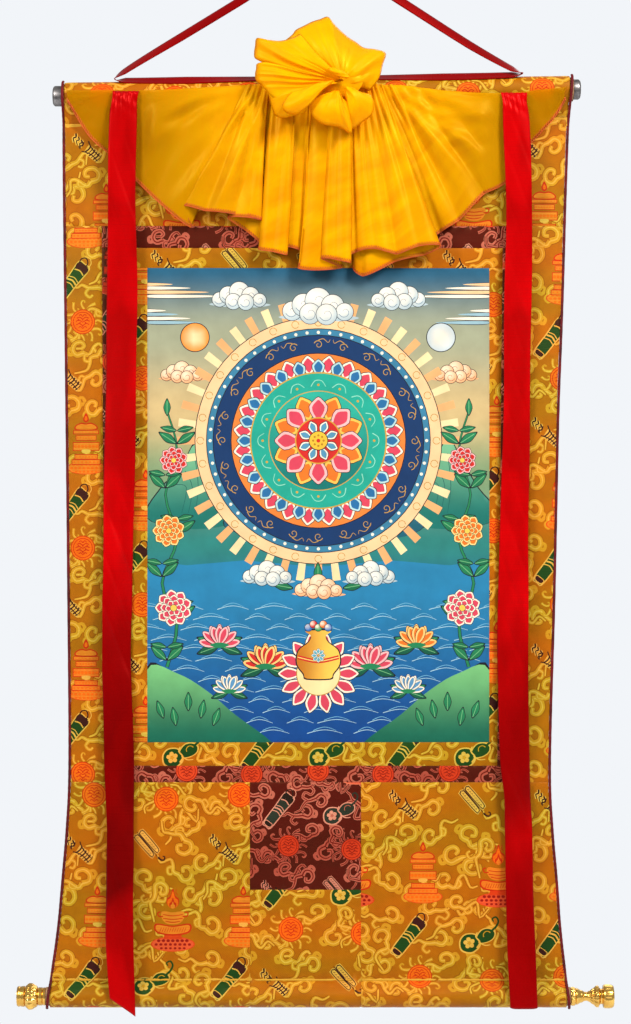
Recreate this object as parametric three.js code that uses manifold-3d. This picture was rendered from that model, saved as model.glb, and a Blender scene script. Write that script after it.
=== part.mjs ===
// A hanging scroll: a painting framed in figured brocade, between a top rod and a bottom roller, with a
// gathered silk veil, two long satin ribbons in front and a narrow ribbon that it hangs by.
// Millimetres. The origin is the top of the hanging ribbon, +Z is up and the front faces -Y.
import * as THREE from 'three';
import { mergeVertices } from 'three/addons/utils/BufferGeometryUtils.js';
import Module from 'manifold-3d';

const wasm = await Module();
wasm.setup();

// Driving sizes
const BROCADE = 1.6;
const SILK = 1.0;
const SATIN = 1.2;
const SEAM = 0.3;
const PIPING = 3.0;

// Heights of the seams across the scroll
const HEIGHTS = {
  topSeam: -334.3,
  redTopEnd: -361.1,
  pictureTop: -385.5,
  pictureBottom: -963.8,
  innerEnd: -992.5,
  redEnd: -1012.6,
  doorEnd: -1143.8,
};
const PICTURE = { left: -208, right: 209 };
const DOOR = { left: -83, right: 52.5 };

// The side seams lean inwards a little on the way down
const SIDE_SEAMS = [
  { z: HEIGHTS.topSeam, redLeft: -263.5, innerLeft: -231, innerRight: 225.7, redRight: 258 },
  { z: HEIGHTS.redEnd, redLeft: -260, innerLeft: -227, innerRight: 218.4, redRight: 255 },
];

// The two long edges, drawn in to a waist above the roller
const EDGES = [
  { z: -150, left: -311.8, right: 311.1 },
  { z: -217, left: -311.6, right: 306.2 },
  { z: -327, left: -311.1, right: 302.6 },
  { z: -425, left: -310.0, right: 300.1 },
  { z: -547, left: -308.7, right: 295.2 },
  { z: -791, left: -306.2, right: 289.8 },
  { z: -1004, left: -305.0, right: 284.3 },
  { z: -1077, left: -308.7, right: 287.9 },
  { z: -1132, left: -313.5, right: 292.8 },
  { z: -1187, left: -318.4, right: 296.8 },
  { z: -1242, left: -325.5, right: 302.6 },
  { z: -1290, left: -331.6, right: 307.6 },
];

// The top rod hangs a little lower at its left end
const ROD = { radius: 14.6, z: -171.8, slope: 0.01333, left: -311.5, right: 310.8, stitch: -207 };
const ROLLER = { radius: 11.5, z: -1273.7, left: -331.3, right: 307.3, stitch: -1254 };
const CAP = { radius: 12.4, face: 9.6, leftEnd: -323, rightEnd: 320 };
const ROUND = { tube: 3, rod: 24, knob: 24 };
const LOOP_STEPS = 12;
const SLANTED_END = 22;
const VEIL_TOLERANCE = 0.02;
const SLEEVE_EASE = 0.6;
const VEIL_CLEARANCE = 1.7;
const PIPING_EASE = 0.6;
const BINDING_HEIGHTS = [
  -206, -232, -300, -380, -460, -560, -680, -800, -920, -990,
  -1030, -1060, -1090, -1120, -1150, -1180, -1210, -1236, -1252,
];

const COLOURS = {
  gold: 0xc9a01c, red: 0x7a0812, binding: 0x410300, satin: 0xd2141a, silk: 0xffbf08,
  picture: 0x4d8fae, steel: 0x8c8680, brass: 0xd6a93c, wood: 0x8a6844,
};

const group = new THREE.Group();

function material(colour, roughness, metalness = 0) {
  return new THREE.MeshStandardMaterial({ color: colour, roughness, metalness });
}

const finishes = {
  gold: material(COLOURS.gold, 0.6),
  red: material(COLOURS.red, 0.6),
  binding: material(COLOURS.binding, 0.7),
  satin: material(COLOURS.satin, 0.3),
  silk: material(COLOURS.silk, 0.4),
  picture: material(COLOURS.picture, 0.7),
  steel: material(COLOURS.steel, 0.35, 1),
  brass: material(COLOURS.brass, 0.25, 1),
  wood: material(COLOURS.wood, 0.6),
};

function addPiece(name, geometry, finish) {
  const mesh = new THREE.Mesh(geometry, finishes[finish]);
  mesh.name = name;
  group.add(mesh);
}

// One column of a table, read between its rows on a smooth curve
function reading(table, column, z) {
  const last = table.length - 1;
  let row = 0;
  while (row < last - 1 && z < table[row + 1].z) row += 1;
  const from = table[row];
  const to = table[row + 1];
  const span = to.z - from.z;
  const t = THREE.MathUtils.clamp((z - from.z) / span, 0, 1);
  const before = table[Math.max(row - 1, 0)];
  const after = table[Math.min(row + 2, last)];
  const slopeIn = (to[column] - before[column]) / (to.z - before.z) * span;
  const slopeOut = (after[column] - from[column]) / (after.z - from.z) * span;
  const t2 = t * t;
  const t3 = t2 * t;
  return (2 * t3 - 3 * t2 + 1) * from[column] + (t3 - 2 * t2 + t) * slopeIn
    + (3 * t2 - 2 * t3) * to[column] + (t3 - t2) * slopeOut;
}

const clothLeft = (z) => reading(EDGES, 'left', z) + PIPING + PIPING_EASE;
const clothRight = (z) => reading(EDGES, 'right', z) - PIPING - PIPING_EASE;
const seam = (column, side) => (z) => reading(SIDE_SEAMS, column, z) + side * SEAM / 2;
const straight = (x, side) => () => x + side * SEAM / 2;

// How far behind its plane the cloth hangs: slow ripples, and long edges that curl back at the waist
function hang(x, z) {
  const free = THREE.MathUtils.smoothstep(z, ROLLER.stitch, ROLLER.stitch + 60)
    * (1 - THREE.MathUtils.smoothstep(z, HEIGHTS.topSeam - 60, ROD.stitch));
  const ripple = 1.1 * Math.sin(z / 78 + 0.4) * Math.sin(x / 115 + z / 900 + 0.7);
  const fold = 0.8 * Math.sin(x / 47 + z / 210);
  const curl = 7 * THREE.MathUtils.smoothstep(Math.abs(x), 262, 316);
  return free * (ripple + fold * 0.6 + curl);
}

function warp(geometry, place) {
  const positions = geometry.attributes.position;
  const point = new THREE.Vector3();
  for (let index = 0; index < positions.count; index += 1) {
    point.fromBufferAttribute(positions, index);
    place(point);
    positions.setXYZ(index, point.x, point.y, point.z);
  }
  geometry.computeVertexNormals();
  return geometry;
}

// A flat panel between two side seams, hanging on the cloth's ripples
function panel({ top, bottom, left, right, columns, rows }) {
  const high = top - SEAM / 2;
  const low = bottom + SEAM / 2;
  return warp(new THREE.BoxGeometry(1, BROCADE, 1, columns, 1, rows), (point) => {
    const z = low + (point.z + 0.5) * (high - low);
    const x = THREE.MathUtils.lerp(left(z), right(z), point.x + 0.5);
    point.set(x, point.y + hang(x, z), z);
  });
}

// The section of a panel that ends in a sleeve: flat cloth as far as the stitching, then a loop round
// the rod. toward is +1 where the sleeve is at the top and -1 where it is at the bottom. The skin runs
// down one face, round the loop and back up the other. The lining bounds the space for the rod.
function sleeveSection({ rod, flatEnd, toward, rows }) {
  const half = BROCADE / 2;
  const inner = rod.radius + SLEEVE_EASE;
  const wedge = rod.stitch + toward * BROCADE * 1.5;
  const flat = (side) => Array.from({ length: rows + 1 }, (_, row) => (
    [side * half, THREE.MathUtils.lerp(flatEnd, rod.stitch, row / rows)]));
  const loop = (radius, start) => Array.from({ length: LOOP_STEPS + 1 }, (_, step) => {
    const lean = Math.asin(radius / Math.abs(rod.z - start));
    const angle = THREE.MathUtils.lerp(Math.PI + lean, -lean, step / LOOP_STEPS);
    return [radius * Math.cos(angle), rod.z + toward * radius * Math.sin(angle)];
  });
  return {
    skin: [...flat(-1), ...loop(inner + BROCADE, rod.stitch), ...flat(1).reverse()],
    lining: [[0, wedge], ...loop(inner, wedge)],
  };
}

// A closed solid from that section, carried across the cloth in steps
function sleeveGeometry({ skin, lining }, { rows, steps, toward }) {
  const ring = [...skin, ...lining];
  const count = ring.length;
  const wedge = skin.length;
  const loopStart = rows + 1;
  const faces = [];
  const quad = (a, b, c, d) => faces.push(a, b, c, a, c, d);
  const endFaces = [];
  const last = skin.length - 1;
  for (let row = 0; row < rows; row += 1) endFaces.push([row, row + 1, last - row - 1, last - row]);
  endFaces.push([rows, loopStart, wedge + 1, wedge]);
  for (let step = 0; step < LOOP_STEPS; step += 1) {
    endFaces.push([loopStart + step, loopStart + step + 1, wedge + step + 2, wedge + step + 1]);
  }
  endFaces.push([loopStart + LOOP_STEPS, last - rows, wedge, wedge + LOOP_STEPS + 1]);
  const far = steps * count;
  endFaces.forEach(([a, b, c, d]) => {
    quad(a, b, c, d);
    quad(far + d, far + c, far + b, far + a);
  });
  faces.push(rows, wedge, last - rows, far + last - rows, far + wedge, far + rows);
  const walls = [...skin.map((_, index) => [index, (index + 1) % skin.length])];
  for (let index = 0; index < lining.length; index += 1) {
    walls.push([wedge + (index + 1) % lining.length, wedge + index]);
  }
  for (let step = 0; step < steps; step += 1) {
    const [near, next] = [step * count, (step + 1) * count];
    walls.forEach(([from, to]) => quad(near + to, near + from, next + from, next + to));
  }
  if (toward < 0) faces.reverse();
  const points = [];
  for (let step = 0; step <= steps; step += 1) ring.forEach(([y, z]) => points.push(y, z, step / steps));
  const geometry = new THREE.BufferGeometry();
  geometry.setAttribute('position', new THREE.Float32BufferAttribute(points, 3));
  geometry.setIndex(faces);
  return geometry;
}

// How much the top rod's slant lifts the cloth at a place
function lift(x, z) {
  return ROD.slope * x * THREE.MathUtils.smoothstep(z, HEIGHTS.topSeam, ROD.stitch);
}

function sleevePanel({ rod, flatEnd, toward, left, right, rows, steps }) {
  const section = sleeveSection({ rod, flatEnd: flatEnd + toward * SEAM / 2, toward, rows });
  const geometry = sleeveGeometry(section, { rows, steps, toward });
  return warp(geometry, (point) => {
    const z = point.y;
    const x = THREE.MathUtils.lerp(left(z), right(z), point.z);
    point.set(x, point.x + hang(x, z), z + lift(x, z));
  });
}

// A closed sheet through a grid of middle points, with its thickness laid out along its normals.
// A ring joins its last column to its first.
function sheet({ columns, rows, thickness, middle, ring = false }) {
  const wide = ring ? columns : columns + 1;
  const grid = [];
  for (let column = 0; column < wide; column += 1) {
    for (let row = 0; row <= rows; row += 1) grid.push(middle(column / columns, row / rows));
  }
  const at = (column, row) => grid[column * (rows + 1) + row];
  const sides = [[], []];
  for (let column = 0; column < wide; column += 1) {
    for (let row = 0; row <= rows; row += 1) {
      const next = ring ? (column + 1) % wide : Math.min(column + 1, wide - 1);
      const past = ring ? (column + wide - 1) % wide : Math.max(column - 1, 0);
      const along = at(next, row).clone().sub(at(past, row));
      const down = at(column, Math.min(row + 1, rows)).clone().sub(at(column, Math.max(row - 1, 0)));
      const normal = along.cross(down).normalize().multiplyScalar(thickness / 2);
      sides[0].push(at(column, row).clone().add(normal));
      sides[1].push(at(column, row).clone().sub(normal));
    }
  }
  const points = sides[0].concat(sides[1]);
  const far = grid.length;
  const faces = [];
  const quad = (a, b, c, d) => faces.push(a, b, c, a, c, d);
  const slot = (column, row) => (column % wide) * (rows + 1) + row;
  for (let column = 0; column < columns; column += 1) {
    for (let row = 0; row < rows; row += 1) {
      const [a, b] = [slot(column, row), slot(column + 1, row)];
      quad(a, b, b + 1, a + 1);
      quad(far + a, far + a + 1, far + b + 1, far + b);
    }
    const [start, next] = [slot(column, 0), slot(column + 1, 0)];
    quad(start, far + start, far + next, next);
    quad(start + rows, next + rows, far + next + rows, far + start + rows);
  }
  if (!ring) {
    for (let row = 0; row < rows; row += 1) {
      const [first, last] = [slot(0, row), slot(columns, row)];
      quad(first, first + 1, far + first + 1, far + first);
      quad(last, far + last, far + last + 1, last + 1);
    }
  }
  const geometry = new THREE.BufferGeometry();
  const numbers = points.flatMap((point) => point.toArray());
  geometry.setAttribute('position', new THREE.Float32BufferAttribute(numbers, 3));
  geometry.setIndex(faces);
  geometry.computeVertexNormals();
  return geometry;
}

// The flat panels, each between its own four seams
function addPanels() {
  const { topSeam, redTopEnd, pictureTop, pictureBottom, innerEnd, redEnd, doorEnd } = HEIGHTS;
  const redSides = [seam('redLeft', 1), seam('redRight', -1)];
  const innerSides = [seam('innerLeft', 1), seam('innerRight', -1)];
  const across = { columns: 12, rows: 1 };
  const down = { columns: 2, rows: 16 };
  const border = { columns: 3, rows: 16 };
  const pieces = [
    ['maroon_top', 'red', topSeam, redTopEnd, redSides, across],
    ['maroon_bottom', 'red', innerEnd, redEnd, redSides, across],
    ['maroon_left', 'red', redTopEnd, innerEnd, [redSides[0], seam('innerLeft', -1)], down],
    ['maroon_right', 'red', redTopEnd, innerEnd, [seam('innerRight', 1), redSides[1]], down],
    ['inner_top', 'gold', redTopEnd, pictureTop, innerSides, across],
    ['inner_bottom', 'gold', pictureBottom, innerEnd, innerSides, across],
    ['inner_left', 'gold', pictureTop, pictureBottom, [innerSides[0], straight(PICTURE.left, -1)], down],
    ['inner_right', 'gold', pictureTop, pictureBottom, [straight(PICTURE.right, 1), innerSides[1]], down],
    ['left_border', 'gold', topSeam, redEnd, [clothLeft, seam('redLeft', -1)], border],
    ['right_border', 'gold', topSeam, redEnd, [seam('redRight', 1), clothRight], border],
    ['painting_canvas', 'picture', pictureTop, pictureBottom,
      [straight(PICTURE.left, 1), straight(PICTURE.right, -1)], { columns: 10, rows: 16 }],
    ['door_panel', 'red', redEnd, doorEnd,
      [straight(DOOR.left, 1), straight(DOOR.right, -1)], { columns: 7, rows: 4 }],
  ];
  pieces.forEach(([name, finish, top, bottom, [left, right], mesh]) => {
    addPiece(name, panel({ top, bottom, left, right, ...mesh }), finish);
  });
}

// The panels that the rods run through
function addSleevePanels() {
  const pieces = [
    ['top_panel', ROD, HEIGHTS.topSeam, 1, clothLeft, clothRight, 4, 16],
    ['bottom_left_panel', ROLLER, HEIGHTS.redEnd, -1, clothLeft, straight(DOOR.left, -1), 8, 7],
    ['door_lower_panel', ROLLER, HEIGHTS.doorEnd, -1, straight(DOOR.left, 1), straight(DOOR.right, -1), 4, 5],
    ['bottom_right_panel', ROLLER, HEIGHTS.redEnd, -1, straight(DOOR.right, 1), clothRight, 8, 7],
  ];
  pieces.forEach(([name, rod, flatEnd, toward, left, right, rows, steps]) => {
    addPiece(name, sleevePanel({ rod, flatEnd, toward, left, right, rows, steps }), 'gold');
  });
}

function addRod(name, rod, slope) {
  const cylinder = new THREE.CylinderGeometry(rod.radius, rod.radius, 1, ROUND.rod, 1);
  addPiece(name, warp(cylinder, (point) => {
    const x = THREE.MathUtils.lerp(rod.left, rod.right, 0.5 - point.y);
    point.set(x, point.x, rod.z + slope * x + point.z);
  }), 'wood');
}

// A turned piece on the end of a rod. Its profile runs outwards from the rod's end at x.
function turned({ profile, x, z, outwards, petals = 0 }) {
  const outline = profile.map(({ radius, at }) => new THREE.Vector2(radius, at));
  const lathe = new THREE.LatheGeometry(outline, ROUND.knob);
  return warp(lathe, (point) => {
    const radius = Math.hypot(point.x, point.z);
    const angle = Math.atan2(point.z, point.x);
    const row = profile.find(({ at }) => Math.abs(at - point.y) < SEAM);
    const flare = petals && row.petal ? 1 + row.petal * Math.cos(petals * angle) : 1;
    const [across, up] = [radius * flare * Math.cos(angle), radius * flare * Math.sin(angle)];
    point.set(x + outwards * point.y, across, z - outwards * up);
  });
}

function addCaps() {
  const depth = (end, rodEnd) => Math.abs(end - rodEnd) - SEAM;
  const profile = (length) => [
    { radius: 0, at: 0 },
    { radius: CAP.radius, at: 0 },
    { radius: CAP.radius, at: length - 2.8 },
    { radius: CAP.radius - 0.9, at: length - 0.9 },
    { radius: CAP.face, at: length },
    { radius: 0, at: length },
  ];
  const [left, right] = [ROD.left - SEAM, ROD.right + SEAM];
  addPiece('top_cap_left', turned({
    profile: profile(depth(CAP.leftEnd, ROD.left)), x: left, z: ROD.z + ROD.slope * left, outwards: -1,
  }), 'steel');
  addPiece('top_cap_right', turned({
    profile: profile(depth(CAP.rightEnd, ROD.right)), x: right, z: ROD.z + ROD.slope * right, outwards: 1,
  }), 'steel');
}

// The brass knobs: a collar, a ring of lotus petals and a plain or fluted end
function addKnobs() {
  const petals = 8;
  const left = [
    { radius: 0, at: 0 },
    { radius: 10.6, at: 0 },
    { radius: 10.6, at: 9.8 },
    { radius: 13.4, at: 12.5, petal: 0.05 },
    { radius: 15.2, at: 20.6, petal: 0.09 },
    { radius: 12.6, at: 25.4, petal: 0.03 },
    { radius: 12.2, at: 26.4 },
    { radius: 12.2, at: 34.2 },
    { radius: 11.2, at: 35.2 },
    { radius: 0, at: 35.2 },
  ];
  const right = [
    { radius: 0, at: 0 },
    { radius: 11, at: 0 },
    { radius: 10.4, at: 6.5 },
    { radius: 7.6, at: 13.5 },
    { radius: 5.4, at: 20 },
    { radius: 8.6, at: 27, petal: 0.05 },
    { radius: 13.4, at: 33.8, petal: 0.1 },
    { radius: 9.4, at: 36.6 },
    { radius: 9.4, at: 39.2 },
    { radius: 14.2, at: 40.6, petal: 0.02 },
    { radius: 14.4, at: 50, petal: 0.02 },
    { radius: 13, at: 52.8 },
    { radius: 0, at: 52.8 },
  ];
  addPiece('knob_left', turned({
    profile: left, x: ROLLER.left - SEAM, z: ROLLER.z, outwards: -1, petals,
  }), 'brass');
  addPiece('knob_right', turned({
    profile: right, x: ROLLER.right + SEAM, z: ROLLER.z, outwards: 1, petals,
  }), 'brass');
}

// How far in front of its plane the cloth's own front stands, with the loops round the rods
function frontOf(x, z) {
  const loop = (rod, height) => {
    const outer = rod.radius + SLEEVE_EASE + BROCADE;
    const away = Math.abs(z - height);
    const end = Math.abs(rod.stitch - rod.z);
    const lean = Math.asin(outer / end);
    if (away < outer * Math.sin(lean)) return Math.sqrt(outer * outer - away * away);
    return away < end ? (end - away) * Math.tan(lean) : -Infinity;
  };
  return Math.max(loop(ROD, ROD.z + ROD.slope * x), loop(ROLLER, ROLLER.z), BROCADE / 2 - hang(x, z));
}

// A piped cord of binding, laid against each long edge
function addBindings() {
  const section = new THREE.Shape();
  section.absarc(0, 0, PIPING / 2, 0, Math.PI * 2);
  ['left', 'right'].forEach((side) => {
    const inward = side === 'left' ? 1 : -1;
    const edge = (z) => reading(EDGES, side, z) + inward * PIPING / 2;
    const round = (rod, angles, slope) => angles.map((degrees) => {
      const angle = THREE.MathUtils.degToRad(degrees);
      const reach = rod.radius + BROCADE + PIPING / 2;
      const z = rod.z + reach * Math.sin(angle);
      return new THREE.Vector3(edge(z), -reach * Math.cos(angle), z + slope * edge(z));
    });
    const points = [
      ...round(ROD, [78, 52, 26, 0, -24], ROD.slope),
      ...BINDING_HEIGHTS.map((z) => new THREE.Vector3(edge(z), hang(edge(z), z), z)),
      ...round(ROLLER, [34, 8, -18, -44, -70], 0),
    ];
    // Stepped from stop to stop, so that its steps are short where it bends round the rods
    const path = new THREE.CatmullRomCurve3(points, false, 'centripetal');
    path.getPointAt = path.getPoint;
    path.getTangentAt = path.getTangent;
    const settings = { steps: 56, bevelEnabled: false, extrudePath: path, curveSegments: ROUND.tube };
    addPiece(`binding_${side}`, new THREE.ExtrudeGeometry(section, settings), 'binding');
  });
}

// A long ribbon: its middle line, width and the turn of its face on the way down
function addRibbons() {
  const ribbons = {
    ribbon_left: [
      { z: -173, x: -233, width: 34, turn: 0, y: -21.2, cup: 0 },
      { z: -200, x: -236, width: 32, turn: 3, y: -21.6, cup: 2 },
      { z: -300, x: -238, width: 34, turn: 3, y: -17, cup: 0 },
      { z: -425, x: -238, width: 37, turn: -4, y: -11, cup: 0 },
      { z: -608, x: -241, width: 38, turn: -6, y: -9, cup: 1 },
      { z: -730, x: -243, width: 37, turn: 10, y: -9, cup: 2 },
      { z: -852, x: -245, width: 36, turn: 16, y: -10, cup: -1 },
      { z: -980, x: -242, width: 36, turn: 6, y: -10, cup: 0 },
      { z: -1070, x: -240, width: 34, turn: 12, y: -11, cup: 0 },
      { z: -1200, x: -241, width: 34, turn: -4, y: -15, cup: 0 },
      { z: -1262, x: -238, width: 33, turn: 0, y: -18, cup: 0 },
      { z: -1284, x: -237, width: 32, turn: 0, y: -17.5, cup: 0 },
    ],
    ribbon_right: [
      { z: -175, x: 237, width: 34, turn: 0, y: -21.2, cup: 0 },
      { z: -205, x: 240, width: 31, turn: 4, y: -21.8, cup: 3 },
      { z: -303, x: 244, width: 32, turn: -3, y: -17, cup: 0 },
      { z: -425, x: 243, width: 33, turn: 0, y: -11, cup: 0 },
      { z: -608, x: 241, width: 33, turn: 4, y: -9, cup: 1 },
      { z: -730, x: 238, width: 36, turn: -5, y: -9, cup: 0 },
      { z: -852, x: 237, width: 38, turn: -8, y: -10, cup: 1 },
      { z: -980, x: 239, width: 36, turn: 3, y: -10, cup: 0 },
      { z: -1035, x: 243, width: 33, turn: 8, y: -11, cup: 2 },
      { z: -1157, x: 245, width: 34, turn: -3, y: -13, cup: 0 },
      { z: -1262, x: 249, width: 34, turn: 0, y: -18, cup: 0 },
      { z: -1286, x: 250, width: 34, turn: 0, y: -17.5, cup: 0 },
    ],
  };
  Object.entries(ribbons).forEach(([name, table]) => {
    const [top, bottom] = [table[0].z, table[table.length - 1].z];
    addPiece(name, sheet({
      columns: 3,
      rows: 44,
      thickness: SATIN,
      middle: (u, v) => {
        const z = THREE.MathUtils.lerp(top, bottom, v);
        const turn = THREE.MathUtils.degToRad(reading(table, 'turn', z));
        const across = (u - 0.5) * reading(table, 'width', z);
        const bow = reading(table, 'cup', z) * (4 * (u - 0.5) ** 2 - 0.5);
        const slant = name === 'ribbon_left' ? SLANTED_END * (u - 0.5) * v ** 12 : 0;
        return new THREE.Vector3(
          reading(table, 'x', z) + across * Math.cos(turn),
          reading(table, 'y', z) + across * Math.sin(turn) + bow,
          z - slant,
        );
      },
    }), 'satin');
  });
}

// The narrow ribbon that it hangs by: one loop, up to the top and back along the top edge.
// turn is how far its width stands away from the front-to-back line.
function addHangingRibbon() {
  const width = 12;
  const stops = [
    { x: 0, y: 0, z: -0.6, turn: 0 },
    { x: 7, y: 0, z: -3.6, turn: 10 },
    { x: 100, y: -1, z: -59.5, turn: 62 },
    { x: 186, y: -4, z: -117, turn: 28 },
    { x: 238, y: -7, z: -144.6, turn: 0 },
    { x: 248.5, y: -7, z: -149.6, turn: -8 },
    { x: 246, y: -7, z: -150.4, turn: -16 },
    { x: 236, y: -8, z: -150.9, turn: -24 },
    { x: 150, y: -9, z: -153.6, turn: -30 },
    { x: 65, y: -6, z: -153.8, turn: -14 },
    { x: -80, y: -6, z: -155.6, turn: -14 },
    { x: -160, y: -9, z: -157.6, turn: -30 },
    { x: -234, y: -6, z: -157.5, turn: -14 },
    { x: -245, y: -6, z: -157.4, turn: -8 },
    { x: -247.5, y: -6, z: -156, turn: 0 },
    { x: -238, y: -6, z: -148.5, turn: 4 },
    { x: -168, y: -3, z: -106, turn: 26 },
    { x: -90, y: -1, z: -57, turn: 62 },
    { x: -7, y: 0, z: -3.6, turn: 10 },
  ];
  const points = stops.map(({ x, y, z }) => new THREE.Vector3(x, y, z));
  const path = new THREE.CatmullRomCurve3(points, true, 'centripetal');
  const across = new THREE.Vector3();
  const stepsEach = 4;
  addPiece('hanging_ribbon', sheet({
    columns: stops.length * stepsEach,
    rows: 1,
    thickness: SATIN,
    ring: true,
    middle: (u, v) => {
      const at = u * stops.length;
      const stop = Math.floor(at) % stops.length;
      const turn = THREE.MathUtils.lerp(stops[stop].turn, stops[(stop + 1) % stops.length].turn, at % 1);
      across.set(0, (v - 0.5) * width, 0);
      across.applyAxisAngle(path.getTangent(u % 1), THREE.MathUtils.degToRad(turn));
      return path.getPoint(u % 1).add(across);
    },
  }), 'satin');
}

// The veil's lower edge from left to right, one row for each fold or hollow: where the edge is (x, z),
// how far it stands off the cloth's plane (y), and where that fold starts on the gathered top edge
const VEIL_FOLDS = [
  { x: -304, z: -184, y: -9, topX: -305 },
  { x: -278, z: -226, y: -8, topX: -254 },
  { x: -251, z: -249, y: -6, topX: -211 },
  { x: -205, z: -296, y: -9, topX: -168 },
  { x: -154, z: -337, y: -5.5, topX: -98 },
  { x: -167, z: -311, y: -9, topX: -100 },
  { x: -137, z: -318, y: -13, topX: -88 },
  { x: -100, z: -322, y: -12, topX: -73 },
  { x: -68, z: -329, y: -13, topX: -61 },
  { x: -110, z: -325, y: -8.8, topX: -68 },
  { x: -88, z: -340, y: -5, topX: -63 },
  { x: -64, z: -364, y: -6, topX: -52 },
  { x: -72, z: -365, y: -11, topX: -54 },
  { x: -55, z: -368, y: -15, topX: -41 },
  { x: -37, z: -371, y: -14, topX: -27 },
  { x: -46, z: -349, y: -9.5, topX: -26 },
  { x: -20, z: -345, y: -8, topX: -12 },
  { x: -22, z: -387, y: -12, topX: -5 },
  { x: 29, z: -386, y: -11, topX: 22 },
  { x: 4, z: -376, y: -16, topX: 17 },
  { x: 22, z: -378, y: -20, topX: 29 },
  { x: 40, z: -382, y: -19, topX: 39 },
  { x: 33, z: -378, y: -14.8, topX: 36 },
  { x: 46, z: -368, y: -14, topX: 42 },
  { x: 70, z: -364, y: -18, topX: 51 },
  { x: 95, z: -371, y: -14.5, topX: 59 },
  { x: 122, z: -361, y: -18, topX: 68 },
  { x: 149, z: -360, y: -13.5, topX: 78 },
  { x: 129, z: -370, y: -9.4, topX: 73 },
  { x: 94, z: -378, y: -8.6, topX: 63 },
  { x: 54, z: -396, y: -9.5, topX: 49 },
  { x: 43, z: -386, y: -7.5, topX: 46 },
  { x: 82, z: -373, y: -4, topX: 56 },
  { x: 118, z: -359, y: -4, topX: 68 },
  { x: 149, z: -342, y: -5, topX: 81 },
  { x: 172, z: -327, y: -8, topX: 100 },
  { x: 203, z: -295, y: -6, topX: 149 },
  { x: 227, z: -283, y: -9, topX: 185 },
  { x: 260, z: -233, y: -7, topX: 246 },
  { x: 285, z: -207, y: -9, topX: 277 },
  { x: 301, z: -182, y: -9, topX: 302 },
];

const VEIL_TOP = [
  { x: -305, z: -172 },
  { x: -168, z: -171 },
  { x: -98, z: -165 },
  { x: 100, z: -165 },
  { x: 150, z: -172 },
  { x: 230, z: -175 },
  { x: 302, z: -168 },
];

function veilTopHeight(x) {
  const row = VEIL_TOP.findIndex((_, index) => x <= (VEIL_TOP[index + 1] ?? VEIL_TOP[index]).x);
  const [from, to] = [VEIL_TOP[row], VEIL_TOP[row + 1]];
  return THREE.MathUtils.mapLinear(x, from.x, to.x, from.z, to.z);
}

// Each layer of the fan, from one fold to the next, is a sheet of its own, and they join at the folds
function veilLayers() {
  const backLayer = -4;
  const nearest = -18.1;
  const squeeze = 0.45;
  const curve = (points) => new THREE.CatmullRomCurve3(points, false, 'centripetal');
  const hem = curve(VEIL_FOLDS.map(({ x, y, z }) => new THREE.Vector3(x, y, z)));
  const top = curve(VEIL_FOLDS.map(({ topX, y }) => (
    new THREE.Vector3(topX, nearest + squeeze * (y - backLayer), veilTopHeight(topX)))));
  const last = VEIL_FOLDS.length - 1;
  const turns = VEIL_FOLDS.map((row, index) => {
    if (index === 0 || index === last) return true;
    return (row.x - VEIL_FOLDS[index - 1].x) * (VEIL_FOLDS[index + 1].x - row.x) < 0;
  });
  const folds = VEIL_FOLDS.map((_, index) => index).filter((index) => turns[index]);
  return folds.slice(1).map((end, index) => {
    const start = folds[index];
    return sheet({
      columns: (end - start) * 2,
      rows: 5,
      thickness: SILK,
      middle: (u, v) => {
        const along = THREE.MathUtils.lerp(start, end, u) / last;
        const point = top.getPoint(along).lerp(hem.getPoint(along), v);
        point.y = Math.min(point.y, -frontOf(point.x, point.z) - VEIL_CLEARANCE);
        return point;
      },
    });
  });
}

// The gathered knot: each puff of silk swells out of the middle towards its own edge.
// lean tips it forwards, ridges is its number of pleats.
const PUFFS = [
  { x: 10, z: -78, width: 118, depth: 34, lean: -36, ridges: 4 },
  { x: -70, z: -104, width: 62, depth: 28, lean: -34, ridges: 3 },
  { x: -78, z: -140, width: 62, depth: 34, lean: -38, ridges: 4 },
  { x: -60, z: -176, width: 62, depth: 30, lean: -42, ridges: 2 },
  { x: -24, z: -205, width: 66, depth: 32, lean: -54, ridges: 3 },
  { x: 42, z: -222, width: 70, depth: 34, lean: -54, ridges: 3 },
  { x: 82, z: -188, width: 62, depth: 30, lean: -42, ridges: 2 },
  { x: 82, z: -124, width: 92, depth: 34, lean: -36, ridges: 4 },
];
const KNOT = { x: 20, y: -48, z: -154, radius: 30, depth: 20 };

function puff({ x, z, width, depth, lean, ridges }) {
  const base = new THREE.Vector3(KNOT.x, KNOT.y, KNOT.z);
  const reach = new THREE.Vector3(x, lean, z).sub(base);
  const along = reach.clone().normalize();
  const front = new THREE.Vector3(0, -1, 0).addScaledVector(along, along.y).normalize();
  const side = along.clone().cross(front);
  const ball = new THREE.SphereGeometry(1, 14, 8);
  return warp(ball, (point) => {
    const spread = 0.62 + 0.38 * point.y;
    const crease = 1 + 0.13 * Math.cos(ridges * Math.PI * point.x) * spread;
    const length = (point.y + 0.78) / 1.78;
    const place = base.clone().addScaledVector(reach, length);
    place.addScaledVector(side, point.x * width / 2 * spread);
    place.addScaledVector(front, point.z * depth / 2 * crease);
    point.copy(place);
  });
}

function toSolid(geometry) {
  const bare = geometry.clone();
  bare.deleteAttribute('normal');
  bare.deleteAttribute('uv');
  const merged = mergeVertices(bare, 1e-4);
  return new wasm.Manifold(new wasm.Mesh({
    numProp: 3,
    vertProperties: new Float32Array(merged.attributes.position.array),
    triVerts: new Uint32Array(merged.index.array),
  }));
}

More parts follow.
